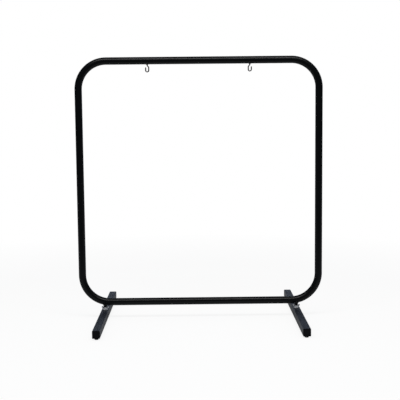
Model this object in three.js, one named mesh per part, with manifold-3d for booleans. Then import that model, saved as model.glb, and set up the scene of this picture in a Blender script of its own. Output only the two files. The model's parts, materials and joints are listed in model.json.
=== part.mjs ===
// A gong stand: a square loop of bent round tube on two foot bars.
// Millimetres, +X to the right, -Y to the front, +Z up.
// The origin is on the floor, under the middle of the loop.
// Each foot bar swivels about the stud that joins it to the loop, and a wing nut locks it.

import * as THREE from "three";
import { mergeVertices } from "three/addons/utils/BufferGeometryUtils.js";
import Module from "manifold-3d";

const wasm = await Module();
wasm.setup();

// Room between pieces that fit in or on each other.
const fitGap = 0.3;
// How far a cutting shape runs past the face that it cuts.
const cutOverrun = 2;
// Vertices closer together than this are one vertex.
const weldDistance = 1e-4;

// The loop of round tube.
const frameWidth = 1067;
const frameHeight = 1080;
const tubeDiameter = 31.75;
const tubeWall = 1.6;
const bendRadius = 120;
const seamHeightShare = 0.5;

// The sleeve inside each seam of the loop, and its two screws.
const sleeveLength = 120;
const sleeveWall = 2;
const sleeveScrewReach = 32;
const sleeveScrewDiameter = 5;
const sleeveScrewLength = 8;
const sleeveScrewHeadDiameter = 9.5;
const sleeveScrewHeadHeight = 2.8;
const sleeveScrewSocketWidth = 3.4;
const sleeveScrewSocketDepth = 1.6;
const sleeveScrewSocketSides = 6;
const sleeveScrewCrownShare = 0.5;
const sleeveScrewRimShare = 0.3;

// The hooks under the top tube. Their open sides face outwards.
const hookSpacing = 440;
const hookWireDiameter = 5;
const hookThroatWidth = 8;
const hookDrop = 34;
const hookTipHeight = 22;
const hookNeckLength = 5;
const hookShoulderHeight = 7;
const hookShoulderRadius = 6;

// The threaded insert that each hook screws into.
const insertWall = 1.5;
const insertLength = 11;
const insertFlangeWidth = 1.6;
const insertFlangeThickness = 1;
const insertHookDepth = 9;

// The joint between the loop and each foot.
const footInset = 112.5;
const footGap = 18;
const studDiameter = 8;
const studPostDepth = 5;
const studFootShare = 0.85;
const postTopDiameter = 16;
const postEndDiameter = 12;
const postEndGap = 2;
const weldRadius = 2;
const washerDiameter = 22;
const washerThickness = 1.6;

// The wing nut.
const wingSpan = 31.75;
const wingThickness = 3;
const wingHeadroom = 2;
const wingTipRadius = 3.4;
const wingBevel = 0.6;
const wingRootDepth = 1.5;
const wingRootShare = 0.25;
const nutHubHeight = 6;
const nutHubBaseDiameter = 15;
const nutHubTopDiameter = 12.5;

// The foot bars of square tube.
const footLength = 762;
const footWidth = 31.75;
const footWall = 1.6;
const footCornerRadius = 3;
const bushDiameter = 16;

// The plug in each end of a foot bar.
const capHeadThickness = 3;
const capEdgeRound = 1;
const capPlugLength = 10;
const capPlugWall = 2;
const capRibHeight = 0.15;
const capRibLength = 2;

// The rubber pads and their screws.
const padHeight = 7;
const padTopDiameter = 18;
const padBottomDiameter = 16;
const padEdgeRound = 1;
const padRecessDiameter = 8.4;
const padRecessDepth = 3.6;
const padInset = 14;
const padScrewDiameter = 4;
const padScrewHeadDiameter = 7;
const padScrewHeadHeight = 2.4;
const padScrewCrownShare = 0.7;
const padScrewRimShare = 0.4;
const padScrewReach = 4;
const padScrewSlotWidth = 0.9;
const padScrewSlotLength = 4.4;
const padScrewSlotDepth = 1.1;

// How finely round shapes are cut into faces.
const tubeSides = 32;
const bendSteps = 9;
const fewestBendSteps = 2;
const wireSides = 12;
const hookSteps = 6;
const turnedSides = 24;
const screwSides = 12;
const cornerSteps = 2;
const wingSteps = 6;
const weldSteps = 12;
const weldSides = 8;

// Heights and places that follow from the sizes above.
const tubeRadius = tubeDiameter / 2;
const tubeBoreRadius = tubeRadius - tubeWall;
const footTop = padHeight + footWidth;
const frameBottom = footTop + footGap;
const lowerTubeHeight = frameBottom + tubeRadius;
const upperTubeHeight = frameBottom + frameHeight - tubeRadius;
const sideTubePlace = frameWidth / 2 - tubeRadius;
const seamHeight = frameBottom + frameHeight * seamHeightShare;
const postPlace = frameWidth / 2 - footInset;
const hookRingRadius = (hookThroatWidth + hookWireDiameter) / 2;
const sides = [
  { name: "left", sign: -1 },
  { name: "right", sign: 1 },
];
const ends = [
  { name: "front", sign: -1 },
  { name: "rear", sign: 1 },
];

const powderCoat = new THREE.MeshStandardMaterial({ color: 0x121314, roughness: 0.38, metalness: 0.1 });
const footCoat = new THREE.MeshStandardMaterial({ color: 0x141517, roughness: 0.34, metalness: 0.1 });
const blackSteel = new THREE.MeshStandardMaterial({ color: 0x0c0c0d, roughness: 0.45, metalness: 0.6 });
const zincPlate = new THREE.MeshStandardMaterial({ color: 0xc4c8cc, roughness: 0.3, metalness: 1 });
const plainSteel = new THREE.MeshStandardMaterial({ color: 0x8d9093, roughness: 0.45, metalness: 1 });
const capPlastic = new THREE.MeshStandardMaterial({ color: 0x0b0b0c, roughness: 0.55, metalness: 0 });
const padRubber = new THREE.MeshStandardMaterial({ color: 0x131313, roughness: 0.85, metalness: 0 });

/** A line through stations, each with its own place and heading, such as the middle line of a bent tube. */
class StationLine extends THREE.Curve {
  constructor(stations) {
    super();
    this.stations = stations;
  }

  stationAt(t) {
    return this.stations[Math.round(t * (this.stations.length - 1))];
  }

  getUtoTmapping(u) {
    return u;
  }

  getPoint(t, target = new THREE.Vector3()) {
    return target.copy(this.stationAt(t).place);
  }

  getTangent(t, target = new THREE.Vector3()) {
    return target.copy(this.stationAt(t).heading);
  }
}

/** Turns a closed geometry into a solid that can be joined and cut. */
function solidFrom(geometry) {
  const bare = new THREE.BufferGeometry();
  bare.setAttribute("position", geometry.getAttribute("position"));
  bare.setIndex(geometry.getIndex());
  const merged = mergeVertices(bare, weldDistance);
  const mesh = new wasm.Mesh({
    numProp: 3,
    vertProperties: merged.getAttribute("position").array,
    triVerts: new Uint32Array(merged.getIndex().array),
  });
  return new wasm.Manifold(mesh);
}

/** Turns a solid back into a geometry with flat faces. */
function geometryFrom(solid) {
  const mesh = solid.getMesh();
  const geometry = new THREE.BufferGeometry();
  geometry.setAttribute("position", new THREE.BufferAttribute(mesh.vertProperties, 3));
  geometry.setIndex(new THREE.BufferAttribute(mesh.triVerts, 1));
  const flat = geometry.toNonIndexed();
  flat.computeVertexNormals();
  return flat;
}

/** Joins the second geometry and those after it to the first. */
function join(first, ...others) {
  return geometryFrom(others.reduce((whole, other) => whole.add(solidFrom(other)), solidFrom(first)));
}

/** Cuts the second geometry and those after it out of the first. */
function cut(body, ...tools) {
  return geometryFrom(tools.reduce((whole, tool) => whole.subtract(solidFrom(tool)), solidFrom(body)));
}

/** The points of a circle, for a section of tube, bar or wire. */
function circlePoints(radius, count) {
  const points = [];
  for (let i = 0; i < count; i++) {
    const angle = (i / count) * 2 * Math.PI;
    points.push(new THREE.Vector2(radius * Math.cos(angle), radius * Math.sin(angle)));
  }
  return points;
}

/** Stations along straight runs that round off each inner corner with its own radius. */
function roundedRoute(corners, radii, stepsPerQuarter) {
  const stations = [];
  const headings = corners.slice(1).map((corner, i) => corner.clone().sub(corners[i]).normalize());
  stations.push({ place: corners[0], heading: headings[0] });
  radii.forEach((radius, i) => {
    const turn = headings[i].angleTo(headings[i + 1]);
    const setback = radius * Math.tan(turn / 2);
    const axis = new THREE.Vector3().crossVectors(headings[i], headings[i + 1]).normalize();
    const inward = new THREE.Vector3().crossVectors(axis, headings[i]);
    const start = corners[i + 1].clone().addScaledVector(headings[i], -setback);
    const centre = start.clone().addScaledVector(inward, radius);
    const steps = Math.max(fewestBendSteps, Math.round((turn / (Math.PI / 2)) * stepsPerQuarter));
    for (let step = 0; step <= steps; step++) {
      const angle = (turn * step) / steps;
      const spoke = inward.clone().multiplyScalar(-radius).applyAxisAngle(axis, angle);
      const heading = headings[i].clone().applyAxisAngle(axis, angle);
      stations.push({ place: centre.clone().add(spoke), heading });
    }
  });
  stations.push({ place: corners[corners.length - 1], heading: headings[headings.length - 1] });
  return stations.filter((station, i) => {
    const last = stations[i - 1];
    return last === undefined || station.place.distanceTo(last.place) > weldDistance;
  });
}

/** A bar of the given section that follows a route. */
function barAlong(stations, section) {
  return new THREE.ExtrudeGeometry(section, {
    steps: stations.length - 1,
    extrudePath: new StationLine(stations),
  });
}

/** A solid round bar that follows a route. */
function roundBarAlong(stations, radius, count) {
  return barAlong(stations, new THREE.Shape(circlePoints(radius, count)));
}

/** A round tube that follows a route. */
function roundTubeAlong(stations, radius, boreRadius, count) {
  const section = new THREE.Shape(circlePoints(radius, count));
  section.holes.push(new THREE.Path(circlePoints(boreRadius, count)));
  return barAlong(stations, section);
}

/** A shape turned about the Z axis from a closed outline of [radius, height] pairs. */
function turned(outline, count) {
  const points = outline.map(([radius, height]) => new THREE.Vector2(radius, height));
  return new THREE.LatheGeometry(points, count).rotateX(Math.PI / 2);
}

/** An upright round bar between two heights. */
function uprightBar(radius, low, high, count) {
  return turned([[0, low], [radius, low], [radius, high], [0, high]], count);
}

/** An upright round ring between two heights. */
function uprightRing(radius, boreRadius, low, high, count) {
  return turned(
    [[boreRadius, low], [radius, low], [radius, high], [boreRadius, high], [boreRadius, low]],
    count,
  );
}

/** A square outline with rounded corners, about the origin. */
function roundedSquare(width, radius, Outline = THREE.Shape) {
  const half = width / 2 - radius;
  const outline = new Outline();
  outline.moveTo(half + radius, -half);
  outline.absarc(half, half, radius, 0, Math.PI / 2);
  outline.absarc(-half, half, radius, Math.PI / 2, Math.PI);
  outline.absarc(-half, -half, radius, Math.PI, Math.PI * 1.5);
  outline.absarc(half, -half, radius, Math.PI * 1.5, Math.PI * 2);
  return outline;
}

/** Extrudes an outline along Y, from one place to another, with its own Y axis upright. */
function extrudedAlongY(outline, front, rear, options = {}) {
  const bevel = options.bevelThickness ?? 0;
  const geometry = new THREE.ExtrudeGeometry(outline, {
    depth: rear - front - 2 * bevel,
    bevelEnabled: bevel > 0,
    curveSegments: cornerSteps,
    ...options,
  });
  return geometry.rotateX(Math.PI / 2).translate(0, rear - bevel, 0);
}

/** Makes a named mesh and adds it to a group. */
function addMesh(group, name, geometry, material) {
  const mesh = new THREE.Mesh(geometry, material);
  mesh.name = name;
  group.add(mesh);
  return mesh;
}

/** The middle line of one half of the loop, from its left seam to its right seam. */
function halfLoopStations(seamEnd, tubeHeight) {
  const corners = [
    new THREE.Vector3(-sideTubePlace, 0, seamEnd),
    new THREE.Vector3(-sideTubePlace, 0, tubeHeight),
    new THREE.Vector3(sideTubePlace, 0, tubeHeight),
    new THREE.Vector3(sideTubePlace, 0, seamEnd),
  ];
  return roundedRoute(corners, [bendRadius, bendRadius], bendSteps);
}

/** The hole for one sleeve screw, through the rear wall of the side tube and of the sleeve in it. */
function sleeveScrewHole(side, end) {
  const radius = sleeveScrewDiameter / 2 + fitGap;
  return uprightBar(radius, 0, tubeRadius + cutOverrun, screwSides)
    .rotateX(-Math.PI / 2)
    .translate(side.sign * sideTubePlace, 0, seamHeight + end * sleeveScrewReach);
}

const upperStations = halfLoopStations(seamHeight + fitGap / 2, upperTubeHeight);
const lowerStations = halfLoopStations(seamHeight - fitGap / 2, lowerTubeHeight);

/** The upper half of the loop, bored for the hook inserts and the sleeve screws. */
function makeFrameUpper() {
  const underside = upperTubeHeight - tubeRadius;
  const insertHoles = sides.map((side) =>
    uprightBar(insertRadius() + fitGap, underside - cutOverrun, upperTubeHeight, turnedSides)
      .translate((side.sign * hookSpacing) / 2, 0, 0));
  const screwHoles = sides.map((side) => sleeveScrewHole(side, 1));
  const tube = roundTubeAlong(upperStations, tubeRadius, tubeBoreRadius, tubeSides);
  return cut(tube, ...insertHoles, ...screwHoles);
}

/** The lower half of the loop, bored for the sleeve screws. */
function makeFrameLower() {
  const screwHoles = sides.map((side) => sleeveScrewHole(side, -1));
  return cut(roundTubeAlong(lowerStations, tubeRadius, tubeBoreRadius, tubeSides), ...screwHoles);
}

/** The sleeve that joins the halves inside one side tube. */
function makeSleeve(side) {
  const radius = tubeBoreRadius - fitGap;
  const sleeve = uprightRing(
    radius,
    radius - sleeveWall,
    seamHeight - sleeveLength / 2,
    seamHeight + sleeveLength / 2,
    tubeSides,
  ).translate(side.sign * sideTubePlace, 0, 0);
  return cut(sleeve, sleeveScrewHole(side, 1), sleeveScrewHole(side, -1));
}

/** A button-head screw along +Y, its head's flat face at the origin's plane. */
function makeSleeveScrew() {
  const radius = sleeveScrewDiameter / 2;
  const headRadius = sleeveScrewHeadDiameter / 2;
  const crownRadius = headRadius * sleeveScrewCrownShare;
  const rimHeight = sleeveScrewHeadHeight * sleeveScrewRimShare;
  const screw = turned(
    [
      [0, -sleeveScrewLength],
      [radius, -sleeveScrewLength],
      [radius, 0],
      [headRadius, 0],
      [headRadius, rimHeight],
      [crownRadius, sleeveScrewHeadHeight],
      [0, sleeveScrewHeadHeight],
    ],
    screwSides,
  );
  const socketRadius = sleeveScrewSocketWidth / 2;
  const socket = turned(
    [
      [0, sleeveScrewHeadHeight - sleeveScrewSocketDepth],
      [socketRadius, sleeveScrewHeadHeight - sleeveScrewSocketDepth],
      [socketRadius, sleeveScrewHeadHeight + cutOverrun],
      [0, sleeveScrewHeadHeight + cutOverrun],
    ],
    sleeveScrewSocketSides,
  );
  return cut(screw, socket).rotateX(-Math.PI / 2);
}

/** The outer radius of a hook insert's barrel. */
function insertRadius() {
  return hookWireDiameter / 2 + fitGap + insertWall;
}

/**
 * The threaded insert of a hook: a barrel inside the tube and a thin flange under it.
 * Height 0 is the tube's underside.
 */
function makeHookInsert() {
  const bore = hookWireDiameter / 2 + fitGap;
  const flangeTop = -fitGap;
  const flangeRadius = insertRadius() + insertFlangeWidth;
  return turned(
    [
      [bore, flangeTop - insertFlangeThickness],
      [flangeRadius, flangeTop - insertFlangeThickness],
      [flangeRadius, flangeTop],
      [insertRadius(), flangeTop],
      [insertRadius(), insertLength],
      [bore, insertLength],
      [bore, flangeTop - insertFlangeThickness],
    ],
    turnedSides,
  );
}

/** An open hook of bent wire. Height 0 is the tube's underside, and the free tip is on the outer side. */
function makeHook(side) {
  const inward = -side.sign * hookRingRadius;
  const ringBottom = -hookDrop + hookWireDiameter / 2;
  const tipHeight = -hookDrop + hookTipHeight - hookWireDiameter / 2;
  const corners = [
    new THREE.Vector3(0, 0, insertHookDepth),
    new THREE.Vector3(0, 0, -hookNeckLength),
    new THREE.Vector3(inward, 0, -hookNeckLength - hookShoulderHeight),
    new THREE.Vector3(inward, 0, ringBottom),
    new THREE.Vector3(-inward, 0, ringBottom),
    new THREE.Vector3(-inward, 0, tipHeight),
  ];
  const radii = [hookShoulderRadius, hookShoulderRadius, hookRingRadius, hookRingRadius];
  const wire = roundBarAlong(roundedRoute(corners, radii, hookSteps), hookWireDiameter / 2, wireSides);
  const tip = new THREE.SphereGeometry(hookWireDiameter / 2, wireSides, wireSides / 2)
    .rotateX(Math.PI / 2)
    .translate(-inward, 0, tipHeight);
  return join(wire, tip);
}

/** The height of the lower tube over a place along X, at a depth under its middle line. */
function lowerTubeHeightAt(place, depth = 0) {
  const past = Math.max(0, Math.abs(place) - (sideTubePlace - bendRadius));
  return lowerTubeHeight + bendRadius - Math.sqrt((bendRadius + depth) ** 2 - past ** 2);
}

const nutBase = footTop + washerThickness + fitGap;
const postEnd = nutBase + nutHubHeight + postEndGap;
const studTop = postEnd + studPostDepth;
const studEnd = footTop - footWidth * studFootShare;
const wingTop = frameBottom - wingHeadroom;

/** A point where the side of a post meets the lower tube, at a turn about the post. */
function weldPoint(side, turn) {
  const x = (postTopDiameter / 2) * Math.cos(turn);
  const y = (postTopDiameter / 2) * Math.sin(turn);
  const depth = Math.sqrt(tubeRadius ** 2 - y ** 2);
  return new THREE.Vector3(x, y, lowerTubeHeightAt(side.sign * postPlace + x, depth));
}

/** Half of the round weld bead where a post meets the lower tube, a step longer than half a turn. */
function makeHalfWeld(side, firstTurn) {
  const turnStep = Math.PI / weldSteps;
  const stations = [];
  for (let step = 0; step <= weldSteps + 1; step++) {
    const turn = firstTurn + step * turnStep;
    const behind = weldPoint(side, turn - turnStep / 2);
    const heading = weldPoint(side, turn + turnStep / 2).sub(behind).normalize();
    stations.push({ place: weldPoint(side, turn), heading });
  }
  return roundBarAlong(stations, weldRadius, weldSides);
}

/** The tapering post welded under the lower tube, with a blind bore for its stud. */
function makePost(side) {
  const top = lowerTubeHeightAt(postPlace);
  const taperTop = frameBottom;
  const bore = studDiameter / 2 + fitGap;
  const post = turned(
    [
      [0, postEnd],
      [postEndDiameter / 2, postEnd],
      [postTopDiameter / 2, taperTop],
      [postTopDiameter / 2, top],
      [0, top],
    ],
    turnedSides,
  );
  const studBore = uprightBar(bore, postEnd - cutOverrun, studTop + fitGap, turnedSides);
  const tube = roundBarAlong(lowerStations, tubeRadius + fitGap, tubeSides)
    .translate(-side.sign * postPlace, 0, 0);
  return cut(join(post, makeHalfWeld(side, 0), makeHalfWeld(side, Math.PI)), studBore, tube);
}

/** The stud that joins a post to the bush in its foot. */
function makeStud() {
  return uprightBar(studDiameter / 2, studEnd, studTop, turnedSides);
}

/** The outline of the right-hand wing, seen from the front, with heights from the nut's base. */
function wingOutline() {
  const tipRadius = wingTipRadius - wingBevel;
  const tipPlace = wingSpan / 2 - wingTipRadius;
  const tipHeight = wingTop - nutBase - wingTipRadius;
  const root = nutHubTopDiameter / 2;
  const rootLow = nutHubHeight * wingRootShare;
  const rootHigh = nutHubHeight - wingBevel;
  const outline = new THREE.Shape();
  outline.moveTo(root - wingRootDepth, rootLow);
  outline.lineTo(root, rootLow);
  outline.quadraticCurveTo(tipPlace + tipRadius, rootLow, tipPlace + tipRadius, tipHeight);
  outline.absarc(tipPlace, tipHeight, tipRadius, 0, Math.PI);
  outline.quadraticCurveTo(tipPlace - tipRadius, rootHigh, root, rootHigh);
  outline.lineTo(root - wingRootDepth, rootHigh);
  return outline;
}

/** The wing nut: a turned hub with two flared wings, bored for the stud. */
function makeWingNut() {
  const hub = turned(
    [[0, 0], [nutHubBaseDiameter / 2, 0], [nutHubTopDiameter / 2, nutHubHeight], [0, nutHubHeight]],
    turnedSides,
  );
  const wing = extrudedAlongY(wingOutline(), -wingThickness / 2, wingThickness / 2, {
    bevelThickness: wingBevel,
    bevelSize: wingBevel,
    bevelSegments: 1,
    curveSegments: wingSteps,
  });
  const otherWing = wing.clone().rotateZ(Math.PI);
  const overTop = wingTop - nutBase + cutOverrun;
  const bore = uprightBar(studDiameter / 2 + fitGap, -cutOverrun, overTop, turnedSides);
  return cut(join(hub, wing, otherWing), bore);
}

/** The washer between the wing nut and the foot. */
function makeWasher() {
  const bore = studDiameter / 2 + fitGap;
  return uprightRing(washerDiameter / 2, bore, footTop, footTop + washerThickness, turnedSides);
}

/** A foot bar of square tube, bored for its bush and its pad screws. */
function makeFoot() {
  const outline = roundedSquare(footWidth, footCornerRadius);
  outline.holes.push(roundedSquare(footWidth - 2 * footWall, footCornerRadius - footWall, THREE.Path));
  const tube = extrudedAlongY(outline, -footLength / 2, footLength / 2)
    .translate(0, 0, padHeight + footWidth / 2);
  const underFoot = padHeight - cutOverrun;
  const overWall = padHeight + footWall + cutOverrun;
  const bushHole = uprightBar(bushDiameter / 2 + fitGap, underFoot, footTop + cutOverrun, turnedSides);
  const screwHoles = ends.map((end) =>
    uprightBar(padScrewDiameter / 2 + fitGap, underFoot, overWall, screwSides)
      .translate(0, end.sign * (footLength / 2 - padInset), 0));
  return cut(tube, bushHole, ...screwHoles);
}

/** The threaded bush that runs through the foot from its top face to its underside. */
function makeBush() {
  return uprightRing(bushDiameter / 2, studDiameter / 2 + fitGap, padHeight, footTop, turnedSides);
}

/** The plug in one end of a foot bar: a head over the end of the tube, and a hollow ribbed shank in it. */
function makeEndCap(end) {
  const face = footLength / 2;
  const plugWidth = footWidth - 2 * footWall - 2 * fitGap - 2 * capRibHeight;
  const plugRadius = footCornerRadius - footWall;
  const head = extrudedAlongY(
    roundedSquare(footWidth - 2 * capEdgeRound, footCornerRadius - capEdgeRound),
    face - capEdgeRound,
    face + capHeadThickness,
    { bevelThickness: capEdgeRound, bevelSize: capEdgeRound, bevelSegments: 1 },
  );
  const overTube = extrudedAlongY(roundedSquare(2 * footWidth, plugRadius), face - 2 * capEdgeRound, face);
  const shank = extrudedAlongY(
    roundedSquare(plugWidth, plugRadius),
    face - capPlugLength,
    face + capEdgeRound,
  );
  const rib = extrudedAlongY(
    roundedSquare(plugWidth + 2 * capRibHeight, plugRadius),
    face - capPlugLength + capRibLength,
    face - capPlugLength + 2 * capRibLength,
  );
  const hollow = extrudedAlongY(
    roundedSquare(plugWidth - 2 * capPlugWall, plugRadius),
    face - capPlugLength - cutOverrun,
    face - capEdgeRound,
  );
  const plug = cut(join(cut(head, overTube), shank, rib), hollow)
    .translate(0, 0, padHeight + footWidth / 2);
  return end.sign > 0 ? plug : plug.rotateZ(Math.PI);
}

/** A rubber pad under a foot, with a recess for its screw. */
function makePad() {
  const bore = padScrewDiameter / 2 + fitGap;
  const recess = padRecessDiameter / 2;
  const bottom = padBottomDiameter / 2;
  return turned(
    [
      [bore, padRecessDepth],
      [recess, padRecessDepth],
      [recess, 0],
      [bottom - padEdgeRound, 0],
      [bottom, padEdgeRound],
      [padTopDiameter / 2, padHeight],
      [bore, padHeight],
      [bore, padRecessDepth],
    ],
    turnedSides,
  );
}

/** The screw that holds a pad: a pan head in the pad's recess and a shank up through the foot's wall. */
function makePadScrew() {
  const radius = padScrewDiameter / 2;
  const headRadius = padScrewHeadDiameter / 2;
  const headTop = padRecessDepth - fitGap;
  const headBottom = headTop - padScrewHeadHeight;
  const end = padHeight + footWall + padScrewReach;
  const screw = turned(
    [
      [0, headBottom],
      [headRadius * padScrewCrownShare, headBottom],
      [headRadius, headBottom + padScrewHeadHeight * padScrewRimShare],
      [headRadius, headTop],
      [radius, headTop],
      [radius, end - radius],
      [0, end],
    ],
    screwSides,
  );
  const slot = new THREE.BoxGeometry(padScrewSlotLength, padScrewSlotWidth, 2 * padScrewSlotDepth)
    .translate(0, 0, headBottom);
  return cut(screw, slot, slot.clone().rotateZ(Math.PI / 2));
}

/** The loop: both halves with the sleeves and screws that join them. */
function makeLoop() {
  const loop = new THREE.Group();
  const rear = tubeRadius + fitGap;
  addMesh(loop, "frame_upper", makeFrameUpper(), powderCoat);
  addMesh(loop, "frame_lower", makeFrameLower(), powderCoat);
  for (const side of sides) {
    addMesh(loop, `frame_sleeve_${side.name}`, makeSleeve(side), plainSteel);
    for (const [place, end] of [["upper", 1], ["lower", -1]]) {
      const screw = addMesh(loop, `sleeve_screw_${side.name}_${place}`, makeSleeveScrew(), blackSteel);
      screw.position.set(side.sign * sideTubePlace, rear, seamHeight + end * sleeveScrewReach);
    }
  }
  return loop;
}

/** One hook in its insert, under the upper tube. */
function makeHookSet(side) {
  const set = new THREE.Group();
  set.position.set((side.sign * hookSpacing) / 2, 0, upperTubeHeight - tubeRadius);
  addMesh(set, `hook_insert_${side.name}`, makeHookInsert(), blackSteel);
  addMesh(set, `hook_${side.name}`, makeHook(side), blackSteel);
  return set;
}

/** One foot with the post, stud, wing nut and washer that join it to the loop. */
function makeFootSet(side) {
  const set = new THREE.Group();
  set.position.x = side.sign * postPlace;
  addMesh(set, `frame_post_${side.name}`, makePost(side), powderCoat);
  addMesh(set, `stud_${side.name}`, makeStud(), zincPlate);
  const nut = addMesh(set, `wing_nut_${side.name}`, makeWingNut(), zincPlate);
  nut.position.z = nutBase;
  addMesh(set, `washer_${side.name}`, makeWasher(), zincPlate);
  addMesh(set, `foot_${side.name}`, makeFoot(), footCoat);
  addMesh(set, `foot_bush_${side.name}`, makeBush(), plainSteel);
  for (const end of ends) {
    const place = end.sign * (footLength / 2 - padInset);
    addMesh(set, `end_cap_${side.name}_${end.name}`, makeEndCap(end), capPlastic);
    addMesh(set, `floor_pad_${side.name}_${end.name}`, makePad(), padRubber).position.y = place;
    addMesh(set, `pad_screw_${side.name}_${end.name}`, makePadScrew(), zincPlate).position.y = place;
  }
  return set;
}

const stand = new THREE.Group();
stand.name = "gong_stand";
stand.add(makeLoop());
for (const side of sides) {
  stand.add(makeHookSet(side), makeFootSet(side));
}

export default stand;
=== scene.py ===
"""The looks of a gong stand: a loop of bent round tube on two swivelling foot bars.

Sizes are in metres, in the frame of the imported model: +X to the right, -Y to the front and +Z up, with the
origin on the floor under the middle of the loop.
"""

import json
import logging
import math
import sys
from collections.abc import Callable, Iterator, Sequence
from contextlib import contextmanager
from dataclasses import dataclass
from enum import Enum

import bmesh
import bpy
from mathutils import Matrix, Vector

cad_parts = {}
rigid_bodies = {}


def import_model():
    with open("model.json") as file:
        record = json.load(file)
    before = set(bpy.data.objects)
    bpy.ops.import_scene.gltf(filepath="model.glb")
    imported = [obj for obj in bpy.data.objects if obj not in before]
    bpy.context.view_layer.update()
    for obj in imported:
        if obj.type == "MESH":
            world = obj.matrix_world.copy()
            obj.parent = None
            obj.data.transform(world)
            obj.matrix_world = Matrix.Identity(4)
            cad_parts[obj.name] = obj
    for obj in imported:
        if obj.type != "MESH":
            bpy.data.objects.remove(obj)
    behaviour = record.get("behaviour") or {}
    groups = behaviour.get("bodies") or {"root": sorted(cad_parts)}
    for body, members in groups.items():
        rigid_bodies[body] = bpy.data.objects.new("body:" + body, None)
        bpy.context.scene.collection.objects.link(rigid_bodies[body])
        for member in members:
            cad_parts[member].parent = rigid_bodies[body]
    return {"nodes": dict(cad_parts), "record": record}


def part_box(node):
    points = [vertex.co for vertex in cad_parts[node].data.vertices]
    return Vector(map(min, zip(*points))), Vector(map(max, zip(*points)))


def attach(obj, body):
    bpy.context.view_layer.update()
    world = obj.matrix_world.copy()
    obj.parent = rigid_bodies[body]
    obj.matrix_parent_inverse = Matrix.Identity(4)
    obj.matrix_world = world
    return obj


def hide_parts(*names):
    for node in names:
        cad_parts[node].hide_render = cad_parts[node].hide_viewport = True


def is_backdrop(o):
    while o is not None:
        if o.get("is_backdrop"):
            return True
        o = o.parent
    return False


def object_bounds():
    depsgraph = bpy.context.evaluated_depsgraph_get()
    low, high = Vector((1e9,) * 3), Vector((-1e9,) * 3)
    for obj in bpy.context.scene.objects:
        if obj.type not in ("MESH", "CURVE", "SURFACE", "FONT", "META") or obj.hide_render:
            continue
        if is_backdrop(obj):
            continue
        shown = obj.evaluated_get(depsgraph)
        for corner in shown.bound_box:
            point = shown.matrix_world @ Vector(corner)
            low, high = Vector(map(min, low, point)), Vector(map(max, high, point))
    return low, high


MM = 0.001
RIGHT_ANGLE = math.pi / 2
FULL_TURN = 2 * math.pi
UP = Vector((0, 0, 1))
# Points that are closer than this count as one.
MERGE_DISTANCE = 1e-6
# The clearance all round a piece in its hole.
FIT_GAP = 0.3 * MM
# The clearance between the tube and the tops of the posts.
POST_CLEARANCE = 0.05 * MM

Piece = bpy.types.Object
Group = bpy.types.NodeTree
Socket = bpy.types.NodeSocket
Colour = tuple[float, float, float, float]
Place = tuple[float, float, float]

log = logging.getLogger("gong_stand")


class Half(Enum):
    """One of two places on either side of the middle, with the sign of its coordinate."""

    @property
    def word(self) -> str:
        """The place's word in the names of nodes and pieces."""
        return self.name.lower()


class Side(Half):
    """The two sides of the stand, along X."""

    LEFT = -1
    RIGHT = 1


class End(Half):
    """The two ends of a foot bar, along Y."""

    FRONT = -1
    REAR = 1


class Slot(Enum):
    """The finishes that the stand's record lists."""

    FRAME_PAINT = "frame_paint"
    FOOT_PAINT = "foot_paint"
    BLACK_STEEL = "black_steel"
    ZINC_PLATE = "zinc_plate"
    PLAIN_STEEL = "plain_steel"
    CAP_PLASTIC = "cap_plastic"
    PAD_RUBBER = "pad_rubber"


class Cut(Enum):
    """What a boolean does with its tool."""

    AWAY = "DIFFERENCE"
    JOIN = "UNION"


class Room:
    """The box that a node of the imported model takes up, with the middle of its underside as its foot."""

    def __init__(self, node: str) -> None:
        """Reads the box.

        Args:
            node: The name of the node.
        """
        self.node = node
        self.low, self.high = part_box(node)
        self.centre = (self.low + self.high) / 2
        self.foot = Vector((self.centre.x, self.centre.y, self.low.z))
        self.radius = (self.high.x - self.low.x) / 2
        self.height = self.high.z - self.low.z


def select_only(piece: Piece) -> None:
    """Selects one piece and makes it the active one.

    Args:
        piece: The piece.
    """
    bpy.ops.object.select_all(action="DESELECT")
    piece.select_set(True)
    bpy.context.view_layer.objects.active = piece


def start_piece(
    name: str, add: Callable[..., object], stretch: Place = (1, 1, 1), **settings: object
) -> Piece:
    """Adds a primitive and puts its place in its mesh.

    Args:
        name: The name of the piece.
        add: The operator that adds the primitive.
        stretch: A scale for a primitive whose operator takes none.
        **settings: The operator's settings.

    Returns:
        The piece.
    """
    bpy.ops.object.select_all(action="DESELECT")
    add(**settings)
    piece = bpy.context.view_layer.objects.active
    piece.name = piece.data.name = name
    piece.scale = stretch
    bpy.ops.object.transform_apply(location=True, rotation=True, scale=True)
    return piece


@contextmanager
def editing(piece: Piece, mode: str = "VERT", every: bool = False) -> Iterator[None]:
    """Keeps a piece in edit mode, then leaves edit mode.

    Args:
        piece: The piece to edit.
        mode: What is selected: VERT, EDGE or FACE.
        every: Whether all of the piece is selected, or nothing.

    Yields:
        Nothing, while the piece is in edit mode.
    """
    select_only(piece)
    bpy.ops.object.mode_set(mode="EDIT")
    bpy.ops.mesh.select_mode(type=mode)
    bpy.ops.mesh.select_all(action="SELECT" if every else "DESELECT")
    yield
    bpy.ops.object.mode_set(mode="OBJECT")


def pick(piece: Piece, kind: str, wanted: Callable[..., bool]) -> None:
    """Selects the edges or faces of a piece in edit mode that pass a test.

    Args:
        piece: The piece that is being edited.
        kind: Which of the mesh's parts to look at: edges or faces.
        wanted: Says of one part whether it is selected.
    """
    mesh = bmesh.from_edit_mesh(piece.data)
    for part in getattr(mesh, kind):
        if wanted(part):
            part.select_set(True)
    bmesh.update_edit_mesh(piece.data)


def spans(edge: bmesh.types.BMEdge, axis: int) -> float:
    """How far an edge reaches along X, Y or Z, given as 0, 1 or 2."""
    return abs(edge.verts[0].co[axis] - edge.verts[1].co[axis])


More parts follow.
